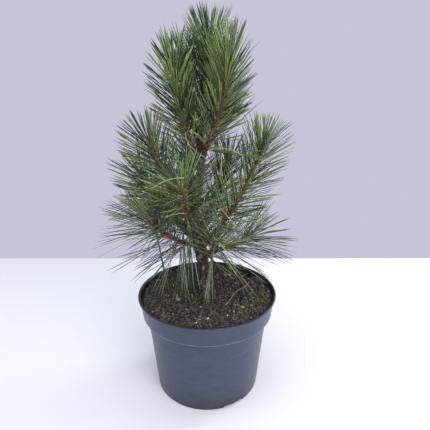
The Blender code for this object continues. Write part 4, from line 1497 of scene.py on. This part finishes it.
def free_share(pairs):
    """How much of each pair's line keeps off wood, pot and peat, and stays in the plant's box."""
    lines = pairs.line(np.tile(TESTED_SHARES, (len(pairs.length), 1)), 0)
    free = np.empty(lines.shape[:2], bool)
    low, high = (np.array(corner) for corner in solids_box)
    for i, line in enumerate(lines):
        offsets = np.linalg.norm(line[:, None] - WOOD[None, :, :3], axis=2) - WOOD[None, :, 3]
        free[i] = offsets.min(1) > NEEDLE_CLEARANCE
    out = np.hypot(lines[..., 0], lines[..., 1])
    near_rim = np.abs(out - RIM_RADIUS + RIM_ZONE / 2) < RIM_ZONE
    floor = np.where(near_rim, POT_HEIGHT + FREE_OF_RIM, PEAT_TOP + FREE_OF_PEAT)
    free &= lines[..., 2] > floor
    free &= ((lines > low + BOX_MARGIN) & (lines < high - BOX_MARGIN)).all(2)
    run = np.cumprod(free, axis=1).sum(1)
    return np.where(run > 0, TESTED_SHARES[np.maximum(run - 1, 0)], 0)


def trimmed(pairs):
    """Shortens pairs that would leave their room and drops those with too little left."""
    share = free_share(pairs)
    pairs.rows["length"] = pairs.length * share
    pairs.rows["bend"] = pairs.bend * share[:, None] ** (BEND_POWER - 1)
    return pairs.kept(share > SHORTEST_SHARE)


def shoot_pairs():
    made = []
    for number, (limb, path) in enumerate(zip(LIMBS, PATHS)):
        draw = np.random.default_rng(NEEDLE_SEED + number)
        at, turn = needle_feet(limb, path)
        pairs = standing_pairs(draw, number, at, turn, limb.habit, True)
        if limb.habit in (LOW, WIDE):
            outer = at > LOW_CLEAR_SHARE * path.length
            pairs = pairs.kept((pairs.out[:, 2] > LOW_LOWEST) | outer)
        made.append(pairs)
    return trimmed(joined_pairs(made + old_pairs() + loose_pairs()))


def build_sheaths():
    shares = np.linspace(0, 1, len(SHEATH_TAPER))
    start = PAIRS.root + SHEATH_START * PAIRS.straight * SHEATH_LENGTH
    lines = start[:, None] + shares[None, :, None] * SHEATH_LENGTH * PAIRS.straight[:, None]
    shape = tubes(lines, SHEATH_RADIUS * SHEATH_TAPER, round_section(5), PAIRS.apart)
    patches = Patches((0.520, 0.440, 0.320), (0.170, 0.110, 0.070), per_metre=200, softness=0.14)
    grain = Grain(per_metre=2600, depth=0.0001)
    finish = patchy_finish("needle sheaths", patches, grain, roughness=(0.65, 0.85))
    sheath = new_piece("needle_sheaths", *shape, finish)
    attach(sheath, "root")


def build_bracts():
    share = np.linspace(0, 1, len(BRACT_TAPER))[None, :, None]
    foot = PAIRS.root + BRACT_OUT * PAIRS.out - BRACT_DROP * PAIRS.along
    rise = 0.62 * PAIRS.along + 0.55 * PAIRS.out
    curl = 0.42 * PAIRS.out - 0.10 * PAIRS.along
    run = BRACT_LENGTH * (share * rise[:, None] + share**2 * curl[:, None])
    section = FLAT_SECTION[[0, 1, 3, 4]] * np.array([1, 1.3])
    aside = np.cross(PAIRS.along, PAIRS.out)
    shape = tubes(foot[:, None] + run, BRACT_HALF_WIDTH * BRACT_TAPER, section, aside)
    patches = Patches((0.400, 0.200, 0.080), (0.130, 0.058, 0.028), per_metre=240, softness=0.14)
    grain = Grain(per_metre=2600, depth=0.0001)
    finish = patchy_finish("bracts", patches, grain, roughness=(0.55, 0.8))
    bract = new_piece("bracts", *shape, finish)
    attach(bract, "root")


WOOD = wood_points()
PAIRS = shoot_pairs()
build_sheaths()
build_bracts()

# The needles: stiff, half round, a millimetre and a half wide, two to a sheath with their flat
# sides together. The young ones are fresh green, the older ones blue-green in the shade of the
# crown or greyish, and some have gone yellow at their tips.
NEEDLE_SECTION = np.array([(1.0, -0.12), (0.62, 0.58), (-0.62, 0.58), (-1.0, -0.12)])
NEEDLE_STATIONS = 7
TONE_SEED = 77
SHADE_SEED = 78
DEEPEST = 0.95
SHADE_POWER = 2.0
DEEP_GREEN = (0.012, 0.028, 0.008)
TIP_FROM = (0.84, 0.96)
TIP_OVERLAP = 0.004
NEEDLE_FROM = 0.02
POINT_SHARE = 0.06
POINT_POWER = 0.7
BLUNT = 0.05
TONES = {
    "fresh": ((0.255, 0.345, 0.090), (0.155, 0.230, 0.055)),
    "green": ((0.135, 0.205, 0.058), (0.080, 0.134, 0.036)),
    "shade": ((0.036, 0.068, 0.026), (0.019, 0.040, 0.015)),
    "sage": ((0.285, 0.355, 0.275), (0.150, 0.205, 0.145)),
    "yellow": ((0.340, 0.360, 0.110), (0.210, 0.250, 0.070)),
}
YELLOW_TIPS = ((0.470, 0.430, 0.180), (0.300, 0.300, 0.100))
# For each habit: half width of a needle, share of pairs with yellow tips, shares of the five tones.
# The shares also paint light and shade: the leader and the middle and front boughs get more of
# the dark shade tone as painted shade, and the front top shoot and the right-hand bough more
# fresh and sage as painted light and sheen.
NEEDLE_LOOKS = {
    LEADER: (0.00078, 0.04, (0.18, 0.28, 0.50, 0.03, 0.01)),
    TOP: (0.00078, 0.06, (0.42, 0.19, 0.31, 0.07, 0.01)),
    UPPER_LIT: (0.00078, 0.06, (0.72, 0.06, 0.06, 0.14, 0.02)),
    MIDDLE: (0.00074, 0.10, (0.37, 0.13, 0.36, 0.10, 0.04)),
    RIGHT_LIT: (0.00074, 0.10, (0.60, 0.08, 0.05, 0.23, 0.04)),
    LOW: (0.00062, 0.12, (0.10, 0.28, 0.28, 0.31, 0.03)),
    WIDE: (0.00060, 0.12, (0.12, 0.24, 0.20, 0.40, 0.04)),
    FRONT: (0.00070, 0.12, (0.47, 0.03, 0.35, 0.11, 0.04)),
    OLD: (0.00060, 0.20, (0.08, 0.27, 0.37, 0.23, 0.05)),
    LOOSE: (0.00072, 0.15, (0.06, 0.34, 0.24, 0.31, 0.05)),
}


def looks_of(pairs, column):
    """That column of the table of looks, with a row for each pair."""
    return np.array([NEEDLE_LOOKS[habit][column] for habit in HABITS])[pairs.habit]


def needle_widths(pairs, shares):
    """Half width along each needle: full at once, then tapering to a point at the tip."""
    swelling = np.minimum(1, 0.75 + 5 * shares)
    point = np.clip((1 - shares) / POINT_SHARE, BLUNT, 1) ** POINT_POWER
    return looks_of(pairs, 0)[:, None] * swelling * point


def needle_tubes(pairs, start, end):
    """Both needles of each pair between two shares of their length, as one mesh."""
    shares = start[:, None] + (end - start)[:, None] * np.linspace(0, 1, NEEDLE_STATIONS)[None]
    widths = needle_widths(pairs, shares)
    points, quads, triangles = [], [], []
    for hand in (-1, 1):
        aside = np.cross(hand * pairs.apart, pairs.straight)
        made = tubes(pairs.line(shares, hand), widths, NEEDLE_SECTION, aside)
        shift = sum(map(len, points))
        points.append(made[0])
        quads.append(made[1] + shift)
        triangles.append(made[2] + shift)
    return np.vstack(points), np.vstack(quads), np.vstack(triangles)


def needle_finish(name, light, dark, per_metre, roughness):
    patches = Patches(light, dark, per_metre, softness=0.22)
    grain = Grain(per_metre=2200, depth=0.00008)
    return two_part_finish(name, patches, DEEP_GREEN, "shade", grain, roughness)


def build_blades(name, pairs, start, end, shade, finish):
    """One piece of needles, each pair with a shade of its own, from 0 deep to 1 full colour."""
    piece = new_piece(name, *needle_tubes(pairs, start, end), finish)
    each = len(piece.data.vertices) // (2 * len(start))
    set_field(piece, "shade", np.tile(np.repeat(shade, each), 2))
    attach(piece, "root")


def build_needles():
    """Deals a tone, a shade and maybe a yellow tip to each pair, then makes a piece of each tone."""
    draw = np.random.default_rng(TONE_SEED)
    count = len(PAIRS.length)
    levels = np.cumsum(looks_of(PAIRS, 2), 1)
    tone = (draw.uniform(0, 1, count)[:, None] > levels).sum(1)
    tipped = draw.uniform(0, 1, count) < looks_of(PAIRS, 1)
    end = np.where(tipped, draw.uniform(*TIP_FROM, count), 1.0)
    depth = np.random.default_rng(SHADE_SEED).uniform(0, 1, count) ** SHADE_POWER
    shade = 1 - DEEPEST * depth
    for i, (name, (light, dark)) in enumerate(TONES.items()):
        chosen = tone == i
        finish = needle_finish(name + " needles", light, dark, 60, roughness=(0.24, 0.34))
        start = np.full(chosen.sum(), NEEDLE_FROM)
        pairs = PAIRS.kept(chosen)
        build_blades("needles_" + name, pairs, start, end[chosen], shade[chosen], finish)
    light, dark = YELLOW_TIPS
    finish = needle_finish("yellow tips", light, dark, 70, roughness=(0.4, 0.55))
    start = end[tipped] - TIP_OVERLAP
    pairs = PAIRS.kept(tipped)
    build_blades("needle_tips", pairs, start, np.ones(len(start)), shade[tipped], finish)


build_needles()

# Spent needles: ten old ones, bleached to straw and grey-green, that have let go and lie curved
# over the shoots where they were caught, half of them round the fork of the trunk.
CAUGHT_STATIONS = 12
CAUGHT_HALF_WIDTH = 0.00068
CAUGHT_POINT = 0.1
BLUNT_TIP = 0.06
# A caught needle: both ends, and how far its middle is bowed
CAUGHT = (
    ((0.0011, -0.0120, 0.4068), (0.0526, -0.0450, 0.3998), (0.0027, -0.0015, 0.0060)),
    ((0.0026, -0.0080, 0.4093), (-0.0258, -0.0220, 0.4336), (-0.0002, -0.0010, 0.0063)),
    ((-0.0094, -0.0100, 0.3978), (0.0082, -0.0220, 0.3804), (0.0001, -0.0020, 0.0042)),
    ((-0.0166, -0.0140, 0.4057), (-0.0287, -0.0220, 0.4336), (-0.0047, -0.0020, -0.0017)),
    ((0.0214, -0.0200, 0.4005), (0.0197, -0.0320, 0.3689), (0.0015, 0.0000, 0.0007)),
    ((-0.0285, -0.0980, 0.3813), (-0.0698, -0.1060, 0.3691), (0.0009, -0.0020, 0.0049)),
    ((-0.0273, -0.0700, 0.3262), (-0.0574, -0.0860, 0.3257), (0.0007, -0.0020, 0.0020)),
    ((0.0077, -0.0400, 0.2790), (0.0413, -0.0800, 0.2481), (-0.0025, 0.0000, 0.0089)),
    ((0.0184, -0.0300, 0.3230), (0.0498, -0.0550, 0.2921), (-0.0015, -0.0025, 0.0029)),
    ((-0.0007, -0.0450, 0.3601), (-0.0050, -0.0720, 0.3367), (0.0007, -0.0015, 0.0008)),
)


def build_caught():
    shares = np.linspace(0, 1, CAUGHT_STATIONS)
    foot, tip, bow = np.array(CAUGHT).transpose(1, 0, 2)
    arch = (4 * shares * (1 - shares))[None, :, None]
    lines = foot[:, None] + shares[None, :, None] * (tip - foot)[:, None] + arch * bow[:, None]
    widths = CAUGHT_HALF_WIDTH * np.clip((1 - shares) / CAUGHT_POINT, BLUNT_TIP, 1) ** POINT_POWER
    shape = tubes(lines, widths, round_section(5), (0.0, 1.0, 0.0))
    patches = Patches((0.390, 0.430, 0.230), (0.230, 0.270, 0.120), per_metre=60, softness=0.2)
    grain = Grain(per_metre=2200, depth=0.0001)
    finish = patchy_finish("spent needles", patches, grain, roughness=(0.45, 0.6))
    caught = new_piece("caught_needles", *shape, finish)
    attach(caught, "root")


build_caught()
